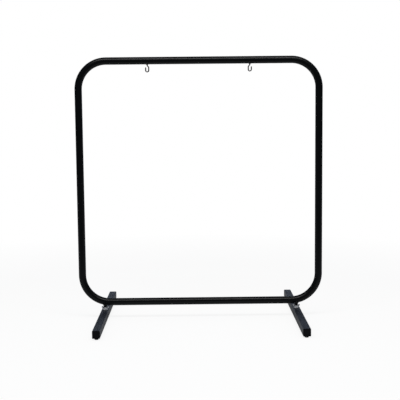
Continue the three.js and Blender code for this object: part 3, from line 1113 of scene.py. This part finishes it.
@dataclass
class Loop:
    """The loop of bent tube: two halves, their inner sleeves and the screws that hold them."""

    workshop: Workshop
    wall: float = 1.6 * MM
    bend_radius: float = 120 * MM
    tube_sides: int = 64
    bend_steps: int = 24
    rim_round: float = 0.35 * MM
    insert_hole_radius: float = 4.6 * MM
    screw_radius: float = 2.5 * MM
    screw_tip: float = 2.2 * MM
    screw_length: float = 8 * MM
    socket_width: float = 3.4 * MM
    socket_depth: float = 1.6 * MM

    def __post_init__(self) -> None:
        """Takes the tube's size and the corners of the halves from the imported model."""
        upper, lower = Room("frame_upper"), Room("frame_lower")
        self.tube_radius = upper.high.y
        self.side_place = upper.high.x - self.tube_radius
        self.top_height = upper.high.z - self.tube_radius
        self.bottom_height = lower.low.z + self.tube_radius
        self.upper_seam = upper.low.z
        self.lower_seam = lower.high.z

    def half(self, name: str, seam: float, height: float, radius: float) -> Piece:
        """Bends one half of the loop as a solid bar.

        Args:
            name: The name of the bar.
            seam: The height of its ends.
            height: The height of its level run.
            radius: The radius of the bar.

        Returns:
            The bar.
        """
        side = self.side_place
        route = ((-side, seam), (-side, height), (side, height), (side, seam))
        corners = [Vector((across, 0, up)) for across, up in route]
        return bent_bar(name, corners, [self.bend_radius] * 2, radius, self.tube_sides, self.bend_steps)

    def is_rim(self, edge: bmesh.types.BMEdge, seam: float) -> bool:
        """Whether an edge runs round the tube at the seam, and not across its wall."""
        length = (edge.verts[0].co.xy - edge.verts[1].co.xy).length
        return lies_at(edge, 2, seam) and abs(length - self.wall) > self.wall / 20

    def screw_drill(self, side: Side, place: str) -> Piece:
        """Makes the cutter for the hole of one sleeve screw.

        Args:
            side: The side of the stand.
            place: The half of the loop, upper or lower.

        Returns:
            The cutter.
        """
        screw = Room(f"sleeve_screw_{side.word}_{place}").centre
        start = Vector((screw.x, 0, screw.z))
        rear = start + Vector((0, self.tube_radius + self.wall, 0))
        return drill("screw_drill", self.screw_radius + FIT_GAP, start, rear)

    def insert_drill(self, side: Side) -> Piece:
        """Makes the cutter for the hole of one hook insert.

        Args:
            side: The side of the stand.

        Returns:
            The cutter.
        """
        insert = Room(f"hook_insert_{side.word}").centre
        start = Vector((insert.x, 0, self.top_height - self.tube_radius - self.wall))
        return drill("insert_drill", self.insert_hole_radius, start, Vector((insert.x, 0, self.top_height)))

    def build_halves(self) -> None:
        """Makes both halves of the loop."""
        for place, seam, height in (
            ("upper", self.upper_seam, self.top_height),
            ("lower", self.lower_seam, self.bottom_height),
        ):
            half = self.half(f"loop_tube_{place}", seam, height, self.tube_radius)
            hollow_out(half, self.wall, lambda face: len(face.verts) == self.tube_sides)
            round_edges(half, self.rim_round, 2, lambda edge, seam=seam: self.is_rim(edge, seam))
            drills = [self.screw_drill(side, place) for side in Side]
            if place == "upper":
                drills += [self.insert_drill(side) for side in Side]
            combine(half, Cut.AWAY, *drills)
            self.workshop.fit(half, Slot.FRAME_PAINT, f"frame_{place}")

    def build_screws(self) -> None:
        """Makes one button-head screw, head up, and copies it lying to its four places."""
        room = Room("sleeve_screw_left_upper")
        head = room.height / 2
        face = room.low.y + self.screw_length
        crown = room.high.y - face
        corners = [
            (0, -self.screw_length, 0),
            (self.screw_tip, -self.screw_length, 0),
            (self.screw_radius, -self.screw_length + 0.4 * MM, 0),
            (self.screw_radius, 0, 0),
            (head, 0, 0),
            (head, 0.5 * MM, 0.3 * MM),
            (head * 0.78, crown, 2.2 * MM),
            (0, crown, 0),
        ]
        upright = turned("sleeve_screw_master", corners, Vector(), sides=48, steps=6)
        deep, clear = UP * (crown - self.socket_depth), UP * 2 * crown
        combine(upright, Cut.AWAY, drill("socket", self.socket_width / 2, deep, clear, sides=6))
        lying = Matrix.Rotation(-RIGHT_ANGLE, 4, "X")
        for side in Side:
            for place in ("upper", "lower"):
                node = f"sleeve_screw_{side.word}_{place}"
                middle = Room(node).centre
                move = Matrix.Translation((middle.x, face, middle.z)) @ lying
                screw = copy_piece(upright, f"button_screw_{side.word}_{place}", move)
                self.workshop.fit(screw, Slot.BLACK_STEEL, node)
        bpy.data.objects.remove(upright)

    def build(self) -> None:
        """Makes the whole loop."""
        self.build_halves()
        self.build_screws()
        for side in Side:
            self.workshop.dress_node(f"frame_sleeve_{side.word}", Slot.PLAIN_STEEL)


@dataclass
class Hook:
    """One hook of bent wire in its threaded insert."""

    workshop: Workshop
    side: Side
    wire: float = 5 * MM
    neck: float = 5 * MM
    shoulder_height: float = 7 * MM
    shoulder_radius: float = 6 * MM
    tip_height: float = 22 * MM
    insert_depth: float = 11 * MM
    insert_wall: float = 1.5 * MM
    flange_thickness: float = 1 * MM

    def build_wire(self, insert: Room) -> None:
        """Bends the hook from its threaded end to its rounded tip.

        Args:
            insert: The room of the insert that it is screwed into.
        """
        room = Room(f"hook_{self.side.word}")
        ring_radius = (room.high.x - room.low.x - self.wire) / 2
        middle = (room.high.x + room.low.x) / 2
        inner = middle - self.side.value * ring_radius
        outer = middle + self.side.value * ring_radius
        shoulder = insert.high.z - self.insert_depth - self.neck
        bottom = room.low.z + self.wire / 2
        route = (
            (middle, room.high.z),
            (middle, shoulder),
            (inner, shoulder - self.shoulder_height),
            (inner, bottom),
            (outer, bottom),
            (outer, room.low.z + self.tip_height - self.wire / 2),
        )
        corners = [Vector((across, 0, up)) for across, up in route]
        radii = [self.shoulder_radius, self.shoulder_radius, ring_radius, ring_radius]
        name = f"wire_hook_{self.side.word}"
        hook = bent_bar(name, corners, radii, self.wire / 2, sides=32, steps=14, tip_steps=6)
        self.workshop.fit(hook, Slot.BLACK_STEEL, room.node)

    def build_insert(self, room: Room) -> None:
        """Turns the threaded insert with its thin flange.

        Args:
            room: The room of the insert.
        """
        bore = self.wire / 2 + FIT_GAP
        barrel = bore + self.insert_wall
        thick = self.flange_thickness
        corners = [
            (bore, 0.3 * MM, 0),
            (bore + 0.3 * MM, 0, 0),
            (room.radius, 0, 0.35 * MM),
            (room.radius, thick, 0.25 * MM),
            (barrel, thick, 0),
            (barrel, room.height - 0.5 * MM, 0),
            (barrel - 0.5 * MM, room.height, 0),
            (bore, room.height, 0),
            (bore, 0.3 * MM, 0),
        ]
        insert = turned(f"threaded_insert_{self.side.word}", corners, room.foot, sides=48)
        self.workshop.fit(insert, Slot.BLACK_STEEL, room.node)

    def build(self) -> None:
        """Makes the hook and its insert."""
        insert = Room(f"hook_insert_{self.side.word}")
        self.build_wire(insert)
        self.build_insert(insert)


@dataclass
class FootJoint:
    """What joins the loop to a foot: the welded post, the stud, the wing nut and the washer."""

    workshop: Workshop
    loop: Loop
    side: Side
    post_top_radius: float = 8 * MM
    post_end_radius: float = 6 * MM
    stud_radius: float = 4 * MM
    stud_sides: int = 32
    bead_radius: float = 2 * MM
    bead_ripples: int = 22
    bead_ripple_share: float = 0.14
    # How many faces the bead has round the post and round its own section.
    bead_segments: tuple[int, int] = (176, 14)
    thread_pitch: float = 1.25 * MM
    thread_depth: float = 0.6 * MM
    thread_flat: float = 0.15
    rings_per_turn: int = 8
    hub_foot_radius: float = 7.5 * MM
    hub_top_radius: float = 6.35 * MM
    hub_height: float = 6 * MM
    wing_thickness: float = 3 * MM
    wing_tip: float = 3.4 * MM
    wing_tip_drop: float = 0.8 * MM
    wing_tip_rings: int = 7
    # Where a wing starts and passes, from the hub out: the middle, the lean in degrees and the half width.
    wing_route: Sequence[tuple[Place, float, float]] = (
        ((4.5 * MM, 0, 3.2 * MM), 0.0, 1.9 * MM),
        ((7.0 * MM, 0, 3.3 * MM), 8.0, 1.9 * MM),
        ((9.2 * MM, 0, 3.9 * MM), 25.0, 2.1 * MM),
        ((11.0 * MM, 0, 5.3 * MM), 48.0, 2.5 * MM),
        ((12.1 * MM, 0, 7.4 * MM), 68.0, 3.0 * MM),
    )
    wing_end_lean: float = 84.0
    wing_end_width: float = 3.35 * MM
    cast_grain: float = 0.3 * MM

    def __post_init__(self) -> None:
        """Takes the joint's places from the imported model."""
        self.stud = Room(f"stud_{self.side.word}")
        self.axis_place = self.stud.centre.x
        self.axis = Vector((self.axis_place, 0, 0))
        self.bore = self.stud_radius + FIT_GAP
        self.frame_bottom = self.loop.bottom_height - self.loop.tube_radius

    def spoke(self, point: Vector) -> Vector:
        """The level line from the joint's axis to a point."""
        return Vector((point.x - self.axis_place, point.y, 0))

    def tube_underside(self, x: float, y: float) -> float:
        """The height of the lower tube's surface over a point beside the post.

        Args:
            x: The point's place along X.
            y: The point's place along Y.

        Returns:
            The height.
        """
        loop = self.loop
        depth = math.sqrt(loop.tube_radius**2 - y**2)
        past = max(0.0, abs(x) - (loop.side_place - loop.bend_radius))
        rise = math.sqrt((loop.bend_radius + depth) ** 2 - past**2)
        return loop.bottom_height + loop.bend_radius - rise

    def make_bead(self) -> Piece:
        """Makes the weld bead: a rippled ring that follows the tube's surface round the post.

        Returns:
            The bead.
        """
        bead = start_piece(
            "weld_bead",
            bpy.ops.mesh.primitive_torus_add,
            major_radius=self.post_top_radius,
            minor_radius=self.bead_radius,
            major_segments=self.bead_segments[0],
            minor_segments=self.bead_segments[1],
            location=self.axis,
        )
        for vertex in bead.data.vertices:
            spoke = self.spoke(vertex.co)
            turn = math.atan2(spoke.y, spoke.x)
            ring = spoke.normalized() * self.post_top_radius
            swell = 1 + self.bead_ripple_share * (abs(math.sin(turn * self.bead_ripples / 2)) - 1)
            surface = self.tube_underside(self.axis_place + ring.x, ring.y)
            middle = self.axis + ring
            vertex.co = middle + (vertex.co - middle) * swell + UP * surface
        return bead

    def build_post(self, tube: Piece) -> None:
        """Turns the post, welds it and fits it to the tube.

        Args:
            tube: A solid bar with the outside of the lower half, for cutting the post's top.
        """
        node = f"frame_post_{self.side.word}"
        end = Room(node).low.z
        corners = [
            (self.bore, self.stud.high.z + FIT_GAP, 0),
            (self.bore, end, 0),
            (self.post_end_radius, end, 0.6 * MM),
            (self.post_top_radius, self.frame_bottom, 3 * MM),
            (self.post_top_radius, self.loop.bottom_height, 0),
            (0, self.loop.bottom_height, 0),
        ]
        post = turned(f"welded_post_{self.side.word}", corners, self.axis, steps=5)
        combine(post, Cut.JOIN, self.make_bead())
        combine(post, Cut.AWAY, tube, keep=True)
        self.workshop.fit(post, Slot.FRAME_PAINT, node)

    def build_stud(self) -> None:
        """Cuts the stud's thread: a ridge that climbs by its pitch each turn."""
        low, high, pitch = self.stud.low.z, self.stud.high.z, self.thread_pitch
        name = f"threaded_stud_{self.side.word}"
        stud = drill(name, self.stud_radius, self.axis + UP * low, self.axis + UP * high, self.stud_sides)
        with editing(stud, "EDGE"):
            pick(stud, "edges", lambda edge: spans(edge, 2) > pitch)
            bpy.ops.mesh.subdivide(number_cuts=round((high - low) / pitch * self.rings_per_turn))
        for vertex in stud.data.vertices:
            height = vertex.co.z
            spoke = self.spoke(vertex.co)
            turn = math.atan2(spoke.y, spoke.x) / FULL_TURN
            phase = (height / pitch - turn) % 1
            ridge = max(0.0, abs(2 * phase - 1) * (1 + self.thread_flat) - self.thread_flat)
            run_out = min(1.0, (high - height) / pitch, (height - low) / pitch)
            radius = self.stud_radius - self.thread_depth * (1 - ridge * run_out)
            vertex.co = self.axis + spoke.normalized() * radius + UP * height
        self.workshop.fit(stud, Slot.ZINC_PLATE, self.stud.node, crease=60)

    @staticmethod
    def shape_ring(middle: Vector, turn: float, lean: float, share: float) -> None:
        """Leans the selected ring upwards, then widens it across the wing and leaves its thickness.

        Args:
            middle: The middle of the ring.
            turn: How much further it leans than the ring before.
            lean: How far it then leans.
            share: How much wider it is than the ring before.
        """
        lift = turn_about(middle, -turn, "Y")
        across = Vector((-math.sin(lean), 0, math.cos(lean)))
        data = bpy.context.edit_object.data
        mesh = bmesh.from_edit_mesh(data)
        for vertex in mesh.verts:
            if vertex.select:
                point = lift @ vertex.co
                vertex.co = point + across * (point - middle).dot(across) * (share - 1)
        bmesh.update_edit_mesh(data)

    def make_wing(self, nut: Room) -> Piece:
        """Draws one wing out of a flat oval ring, out from the hub and up to its round tip.

        Args:
            nut: The room of the wing nut.

        Returns:
            The wing, on the +X side.
        """
        base, tip = nut.foot, self.wing_tip
        end = (nut.radius - tip, 0, nut.height - tip - self.wing_tip_drop)
        stations = (*self.wing_route, (end, self.wing_end_lean, self.wing_end_width))
        route = [(Vector(place), math.radians(lean), width) for place, lean, width in stations]
        place, lean, width = route[0]
        wing = start_ring("wing", 1, 32, base + place, (0, RIGHT_ANGLE, 0))
        with editing(wing, every=True):
            resize_ring((1, self.wing_thickness / 2, width), base + place)
            for next_place, next_lean, next_width in route[1:]:
                draw_out(next_place - place)
                self.shape_ring(base + next_place, next_lean - lean, next_lean, next_width / width)
                place, lean, width = next_place, next_lean, next_width
            heading = Vector((math.cos(lean), 0, math.sin(lean)))
            last_sine, last_size = 0.0, 1.0
            for ring in range(1, self.wing_tip_rings):
                angle = RIGHT_ANGLE * ring / self.wing_tip_rings
                sine, size = math.sin(angle), math.cos(angle)
                reach = heading * tip * (sine - last_sine)
                draw_out(reach)
                place = place + reach
                share = size / last_size
                resize_ring((share, share**0.5, share), base + place)
                last_sine, last_size = sine, size
        close_up(wing)
        return wing

    def build_wing_nut(self) -> None:
        """Casts the wing nut: the hub and both wings, melted together and smoothed, then bored."""
        room = Room(f"wing_nut_{self.side.word}")
        corners = [
            (0, 0, 0),
            (self.hub_foot_radius, 0, 0.4 * MM),
            (self.hub_top_radius, self.hub_height, 0.9 * MM),
            (0, self.hub_height, 0),
        ]
        nut = turned(f"cast_wing_nut_{self.side.word}", corners, room.foot)
        wing = self.make_wing(room)
        other_wing = copy_piece(wing, "other_wing", turn_about(room.foot, math.pi, "Z"))
        combine(nut, Cut.JOIN, wing, other_wing)
        apply_modifier(nut, "REMESH", mode="VOXEL", voxel_size=self.cast_grain)
        apply_modifier(nut, "SMOOTH", factor=0.5, iterations=7)
        apply_modifier(nut, "DECIMATE", ratio=0.5)
        under, over = room.foot - UP * MM, room.foot + UP * room.height
        combine(nut, Cut.AWAY, drill("nut_drill", self.bore, under, over))
        self.workshop.fit(nut, Slot.ZINC_PLATE, room.node, crease=60)

    def build_washer(self) -> None:
        """Turns the washer, stamped with a slightly rounded upper edge."""
        room = Room(f"washer_{self.side.word}")
        thick = room.height
        corners = [
            (self.bore, thick / 2, 0),
            (self.bore, 0, 0.15 * MM),
            (room.radius, 0, 0.2 * MM),
            (room.radius, thick, 0.5 * MM),
            (self.bore, thick, 0.3 * MM),
            (self.bore, thick / 2, 0),
        ]
        washer = turned(f"flat_washer_{self.side.word}", corners, room.foot)
        self.workshop.fit(washer, Slot.ZINC_PLATE, room.node)

    def build(self, tube: Piece) -> None:
        """Makes the joint.

        Args:
            tube: A solid bar with the outside of the lower half of the loop.
        """
        self.build_post(tube)
        self.build_stud()
        self.build_wing_nut()
        self.build_washer()


@dataclass
class FootBar:
    """One foot bar: the square tube with its bush, end caps, pads and pad screws."""

    workshop: Workshop
    side: Side
    corner_radius: float = 3 * MM
    corner_steps: int = 7
    wall: float = 1.6 * MM
    bush_bore: float = 4.3 * MM
    bush_chamfer: float = 0.5 * MM
    cap_thickness: float = 3 * MM
    cap_round: float = 1 * MM
    shank_length: float = 10 * MM
    shank_wall: float = 2 * MM
    rib_height: float = 0.15 * MM
    # How far each rib lies from the inner end of the shank.
    ribs: Sequence[float] = (1.5 * MM, 4.0 * MM, 6.5 * MM)
    pad_taper: float = 1 * MM
    pad_bore: float = 2.3 * MM
    pad_recess: float = 4.2 * MM
    pad_recess_depth: float = 3.6 * MM
    pad_edge: float = 1 * MM
    screw_radius: float = 2 * MM
    screw_head: float = 2.4 * MM
    # The length and width of a slot, and twice its depth.
    slot_size: Place = (4.4 * MM, 0.9 * MM, 2.2 * MM)

    def __post_init__(self) -> None:
        """Takes the bar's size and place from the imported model."""
        self.room = Room(f"foot_{self.side.word}")
        self.width = self.room.height
        self.middle = Vector((self.room.centre.x, 0, self.room.centre.z))

    def ends(self, kind: str) -> Iterator[tuple[str, Room]]:
        """Goes through what the bar has at each end.

        Args:
            kind: The kind of node.

        Yields:
            The words for the place, and the room of the node there.
        """
        for end in End:
            label = f"{self.side.word}_{end.word}"
            yield label, Room(f"{kind}_{label}")

    def build_tube(self, bush: Room) -> None:
        """Draws the square tube and drills it for its bush and pad screws.

        Args:
            bush: The room of the bush.
        """
        low, high = self.room.low, self.room.high
        start = Vector((self.middle.x, low.y, self.middle.z))
        name = f"foot_tube_{self.side.word}"
        tube = square_bar(name, self.width, self.corner_radius, start, high.y - low.y, self.corner_steps)
        hollow_out(tube, self.wall, lambda face: abs(face.normal.y) > 0.9)
        radius = (bush.high.x - bush.centre.x) + FIT_GAP
        under, over = Vector((bush.centre.x, 0, low.z - MM)), Vector((bush.centre.x, 0, high.z + MM))
        drills = [drill("bush_drill", radius, under, over)]
        for _, screw in self.ends("pad_screw"):
            under = Vector((screw.centre.x, screw.centre.y, low.z - MM))
            over = Vector((screw.centre.x, screw.centre.y, low.z + self.wall + MM))
            drills.append(drill("pad_screw_drill", self.screw_radius + FIT_GAP, under, over, sides=24))
        combine(tube, Cut.AWAY, *drills)
        self.workshop.fit(tube, Slot.FOOT_PAINT, self.room.node)

    def build_bush(self, room: Room) -> None:
        """Turns the threaded bush, chamfered at both ends.

        Args:
            room: The room of the bush.
        """
        bore, chamfer, length = self.bush_bore, self.bush_chamfer, room.height
        corners = [
            (bore, length / 2, 0),
            (bore, chamfer, 0),
            (bore + chamfer, 0, 0),
            (room.radius - chamfer, 0, 0),
            (room.radius, chamfer, 0),
            (room.radius, length - chamfer, 0),
            (room.radius - chamfer, length, 0),
            (bore + chamfer, length, 0),
            (bore, length - chamfer, 0),
            (bore, length / 2, 0),
        ]
        bush = turned(f"threaded_bush_{self.side.word}", corners, room.foot)
        self.workshop.fit(bush, Slot.PLAIN_STEEL, room.node)

    def build_caps(self) -> None:
        """Moulds the rear end cap and turns a copy of it to the front."""
        face = self.room.high.y
        start = self.middle + Vector((0, face, 0))
        cap = square_bar(
            "cap_master", self.width, self.corner_radius, start, self.cap_thickness, self.corner_steps
        )
        round_edges(cap, self.cap_round, 4, lambda edge: lies_at(edge, 1, face + self.cap_thickness))
        plug = self.width - 2 * self.wall - 2 * FIT_GAP
        corner = self.corner_radius - self.wall
        start = self.middle + Vector((0, face - self.shank_length, 0))
        parts = [square_bar("shank", plug - 2 * self.rib_height, corner, start, self.shank_length + MM)]
        parts += [square_bar("rib", plug, corner, start + Vector((0, place, 0)), MM) for place in self.ribs]
        combine(cap, Cut.JOIN, *parts)
        start -= Vector((0, MM, 0))
        hollow = square_bar("hollow", plug - 2 * self.shank_wall, MM, start, self.shank_length)
        combine(cap, Cut.AWAY, hollow)
        half_turn = turn_about(Vector((self.middle.x, 0, 0)), math.pi, "Z")
        for label, room in self.ends("end_cap"):
            move = half_turn if room.centre.y < 0 else Matrix.Identity(4)
            twin = copy_piece(cap, f"plug_{label}", move)
            self.workshop.fit(twin, Slot.CAP_PLASTIC, room.node, crease=40)
        bpy.data.objects.remove(cap)

    def build_pads(self) -> None:
        """Moulds the rubber pads with their screw recess."""
        for label, room in self.ends("floor_pad"):
            depth, split = self.pad_recess_depth, room.height / 2 + MM
            corners = [
                (self.pad_bore, split, 0),
                (self.pad_bore, depth, 0),
                (self.pad_recess, depth, 0.3 * MM),
                (self.pad_recess, 0, 0.5 * MM),
                (room.radius - self.pad_taper, 0, self.pad_edge),
                (room.radius, room.height, 0.4 * MM),
                (self.pad_bore, room.height, 0),
                (self.pad_bore, split, 0),
            ]
            self.workshop.fit(turned(f"rubber_pad_{label}", corners, room.foot), Slot.PAD_RUBBER, room.node)

    def build_pad_screws(self) -> None:
        """Turns the pan-head screws of the pads, each with a cross slot."""
        for label, room in self.ends("pad_screw"):
            corners = [
                (0, 0, 0),
                (room.radius, 0, 1.2 * MM),
                (room.radius, self.screw_head, 0.2 * MM),
                (self.screw_radius, self.screw_head, 0),
                (self.screw_radius, room.height - 2 * MM, 0),
                (0, room.height, 0),
            ]
            screw = turned(f"pan_screw_{label}", corners, room.foot, sides=48, steps=6)
            for turn in (0, RIGHT_ANGLE):
                cutter = start_piece(
                    "slot_cutter",
                    bpy.ops.mesh.primitive_cube_add,
                    size=1,
                    location=room.foot,
                    rotation=(0, 0, turn),
                    scale=self.slot_size,
                )
                combine(screw, Cut.AWAY, cutter)
            self.workshop.fit(screw, Slot.ZINC_PLATE, room.node)

    def build(self) -> None:
        """Makes the whole foot."""
        bush = Room(f"foot_bush_{self.side.word}")
        self.build_tube(bush)
        self.build_bush(bush)
        self.build_caps()
        self.build_pads()
        self.build_pad_screws()


@dataclass(frozen=True)
class PhotoCamera:
    """A camera that looks at the stand from the front, slightly from above. Its angles are in radians."""

    place: Place = (-0.0225, -3.8841, 0.9260)
    yaw: float = 0.00604
    pitch: float = -0.10445
    roll: float = -0.00963
    focal_pixels: float = 897.2
    picture_pixels: float = 400.0
    sensor_width: float = 36.0
    sight: float = 60.0

    def build(self) -> None:
        """Adds the camera and makes it the scene's own."""
        level = Vector((math.sin(self.yaw), math.cos(self.yaw), 0))
        forward = level * math.cos(self.pitch) + UP * math.sin(self.pitch)
        right = Vector((math.cos(self.yaw), -math.sin(self.yaw), 0))
        up = right.cross(forward)
        across = right * math.cos(self.roll) + up * math.sin(self.roll)
        upward = up * math.cos(self.roll) - right * math.sin(self.roll)
        data = bpy.data.cameras.new("photo_camera")
        data.sensor_width = self.sensor_width
        data.lens = self.focal_pixels / self.picture_pixels * self.sensor_width
        data.clip_end = self.sight
        camera = bpy.data.objects.new("photo_camera", data)
        turn = Matrix((across, upward, -forward)).transposed().to_4x4()
        camera.matrix_world = Matrix.Translation(self.place) @ turn
        bpy.context.scene.collection.objects.link(camera)
        bpy.context.scene.camera = camera


@dataclass(frozen=True)
class Screen:
    """A flat screen of the studio that only gloss shows."""

    name: str
    place: Place
    facing: Place
    width: float
    height: float
    tone: Colour = colour(0.004, 0.004, 0.004)


# The screens show only in gloss, so their tones are painted reflections. The black ones darken what the
# stand reflects from the front, from above, from the sides and from the floor in front. The grey
# near_floor_screen darkens the reflected floor beside the stand as painted shade. The bluish rear ones paint
# the bluish sheen on the foot tops and sides.
SCREENS = (
    Screen("front_screen", (0, -6, 3), (0, 1, 0), 14, 8),
    Screen("ceiling_screen", (0, 0.5, 4.2), (0, 0, -1), 14, 13),
    Screen("left_screen", (-7, 0, 3), (1, 0, 0), 13, 8),
    Screen("right_screen", (7, 0, 3), (-1, 0, 0), 13, 8),
    Screen("rear_screen", (0, 7, 2.5), (0, -1, 0), 14, 7, colour(0.7, 0.79, 0.95)),
    Screen("front_floor_screen", (0, -4.1, 0.004), (0, 0, 1), 14, 6),
    Screen("near_floor_screen", (0, 0, 0.004), (0, 0, 1), 14, 2.2, colour(0.55, 0.56, 0.57)),
    Screen("rear_floor_screen", (0, 4.1, 0.004), (0, 0, 1), 14, 6, colour(0.5, 0.53, 0.58)),
)


@dataclass(frozen=True)
class Studio:
    """A plain white studio: a pale floor, one broad soft light and screens that only gloss shows."""

    white: Colour = colour(1, 1, 1)
    floor_size: float = 30.0
    floor_colour: Colour = colour(0.95, 0.95, 0.95)
    shadow_share: float = 0.14
    shadow_reach: float = 1.3
    sky_colour: Colour = colour(0.96, 0.98, 1.0)
    sky_strength: float = 0.45
    key_size: tuple[float, float] = (3.2, 0.8)
    key_place: Place = (0, -1.6, 3.6)
    key_aim: Place = (0, 0, 1.1)
    key_radiance: float = 10.0

    @staticmethod
    def paint(piece: Piece) -> Graph:
        """Gives a piece of the studio a material.

        Args:
            piece: The piece.

        Returns:
            The material's empty node tree.
        """
        material = bpy.data.materials.new(piece.name)
        material.use_nodes = True
        piece.data.materials.append(material)
        return Graph(material.node_tree)

    @staticmethod
    def show_white(graph: Graph, lit: bpy.types.Node, shown: bpy.types.Node) -> Socket:
        """Shows one shader to rays from the camera, from gloss and through glass, and one to all others.

        Args:
            graph: The node tree.
            lit: What all other rays find.
            shown: What rays from the camera, from gloss and through glass find.

        Returns:
            The mixed shader.
        """
        path = graph.add("LightPath").outputs
        rays = (path[f"Is {kind} Ray"] for kind in ("Camera", "Glossy", "Transmission"))
        sockets = {0: graph.largest(*rays), 1: lit.outputs[0], 2: shown.outputs[0]}
        return graph.add("MixShader", sockets).outputs[0]

    def build_world(self) -> None:
        """Makes the white surroundings and the even light that they give."""
        world = bpy.data.worlds.new("studio_world")
        world.use_nodes = True
        graph = Graph(world.node_tree)
        light = graph.add("Background", {"Color": self.sky_colour, "Strength": self.sky_strength})
        white = graph.add("Background", {"Color": self.white, "Strength": 1.0})
        graph.add("OutputWorld", {"Surface": self.show_white(graph, light, white)})
        bpy.context.scene.world = world

    def build_floor(self) -> None:
        """Lays the floor, which is white to the camera and keeps a soft part of the shadow."""
        floor = start_piece("studio_floor", bpy.ops.mesh.primitive_plane_add, size=self.floor_size)
        graph = self.paint(floor)
        paint = graph.add("BsdfDiffuse", {"Color": self.floor_colour})
        white = graph.add("Emission", {"Color": self.white, "Strength": 1.0})
        place = graph.add("TexCoord").outputs["Object"]
        far = graph.add("VectorMath", {0: place}, operation="LENGTH").outputs["Value"]
        share = graph.remap(far, self.shadow_reach, 2 * self.shadow_reach, 1 - self.shadow_share, 1.0)
        shown = graph.add("MixShader", {0: share, 1: paint.outputs[0], 2: white.outputs[0]})
        graph.add("OutputMaterial", {"Surface": self.show_white(graph, paint, shown)})
        floor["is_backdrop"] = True

    def hang_screen(self, screen: Screen) -> None:
        """Hangs a screen that shows only in gloss.

        Args:
            screen: The screen.
        """
        turn = Vector(screen.facing).to_track_quat("Z", "Y").to_euler()
        add, stretch = bpy.ops.mesh.primitive_plane_add, (screen.width, screen.height, 1)
        sheet = start_piece(screen.name, add, stretch, size=1, location=screen.place, rotation=turn)
        graph = self.paint(sheet)
        cloth = graph.add("BsdfDiffuse", {"Color": screen.tone})
        graph.add("OutputMaterial", {"Surface": cloth.outputs[0]})
        sheet.visible_camera = False
        sheet.visible_diffuse = False
        sheet.visible_shadow = False
        sheet.visible_transmission = False
        sheet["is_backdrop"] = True

    def hang_light(self) -> None:
        """Hangs the broad soft light over the front of the stand."""
        data = bpy.data.lights.new("key_light", "AREA")
        data.shape = "RECTANGLE"
        data.size, data.size_y = self.key_size
        data.energy = self.key_radiance * math.pi * data.size * data.size_y
        light = bpy.data.objects.new("key_light", data)
        place = Vector(self.key_place)
        turn = (Vector(self.key_aim) - place).to_track_quat("-Z", "Y")
        light.matrix_world = Matrix.Translation(place) @ turn.to_matrix().to_4x4()
        bpy.context.scene.collection.objects.link(light)

    def build(self) -> None:
        """Sets up the whole studio."""
        self.build_world()
        self.build_floor()
        for screen in SCREENS:
            self.hang_screen(screen)
        self.hang_light()
        bpy.context.scene.view_settings.view_transform = "Standard"


def main() -> None:
    """Builds the stand and its studio."""
    logging.basicConfig(level=logging.INFO, format="%(message)s", stream=sys.stdout)
    for thing in list(bpy.data.objects):
        bpy.data.objects.remove(thing)
    workshop = Workshop()
    PhotoCamera().build()
    loop = Loop(workshop)
    loop.build()
    cut_radius = loop.tube_radius + POST_CLEARANCE
    cutter = loop.half("post_cutter", loop.lower_seam, loop.bottom_height, cut_radius)
    for side in Side:
        Hook(workshop, side).build()
        FootJoint(workshop, loop, side).build(cutter)
        FootBar(workshop, side).build()
    bpy.data.objects.remove(cutter)
    Studio().build()


if __name__ == "__main__":
    main()
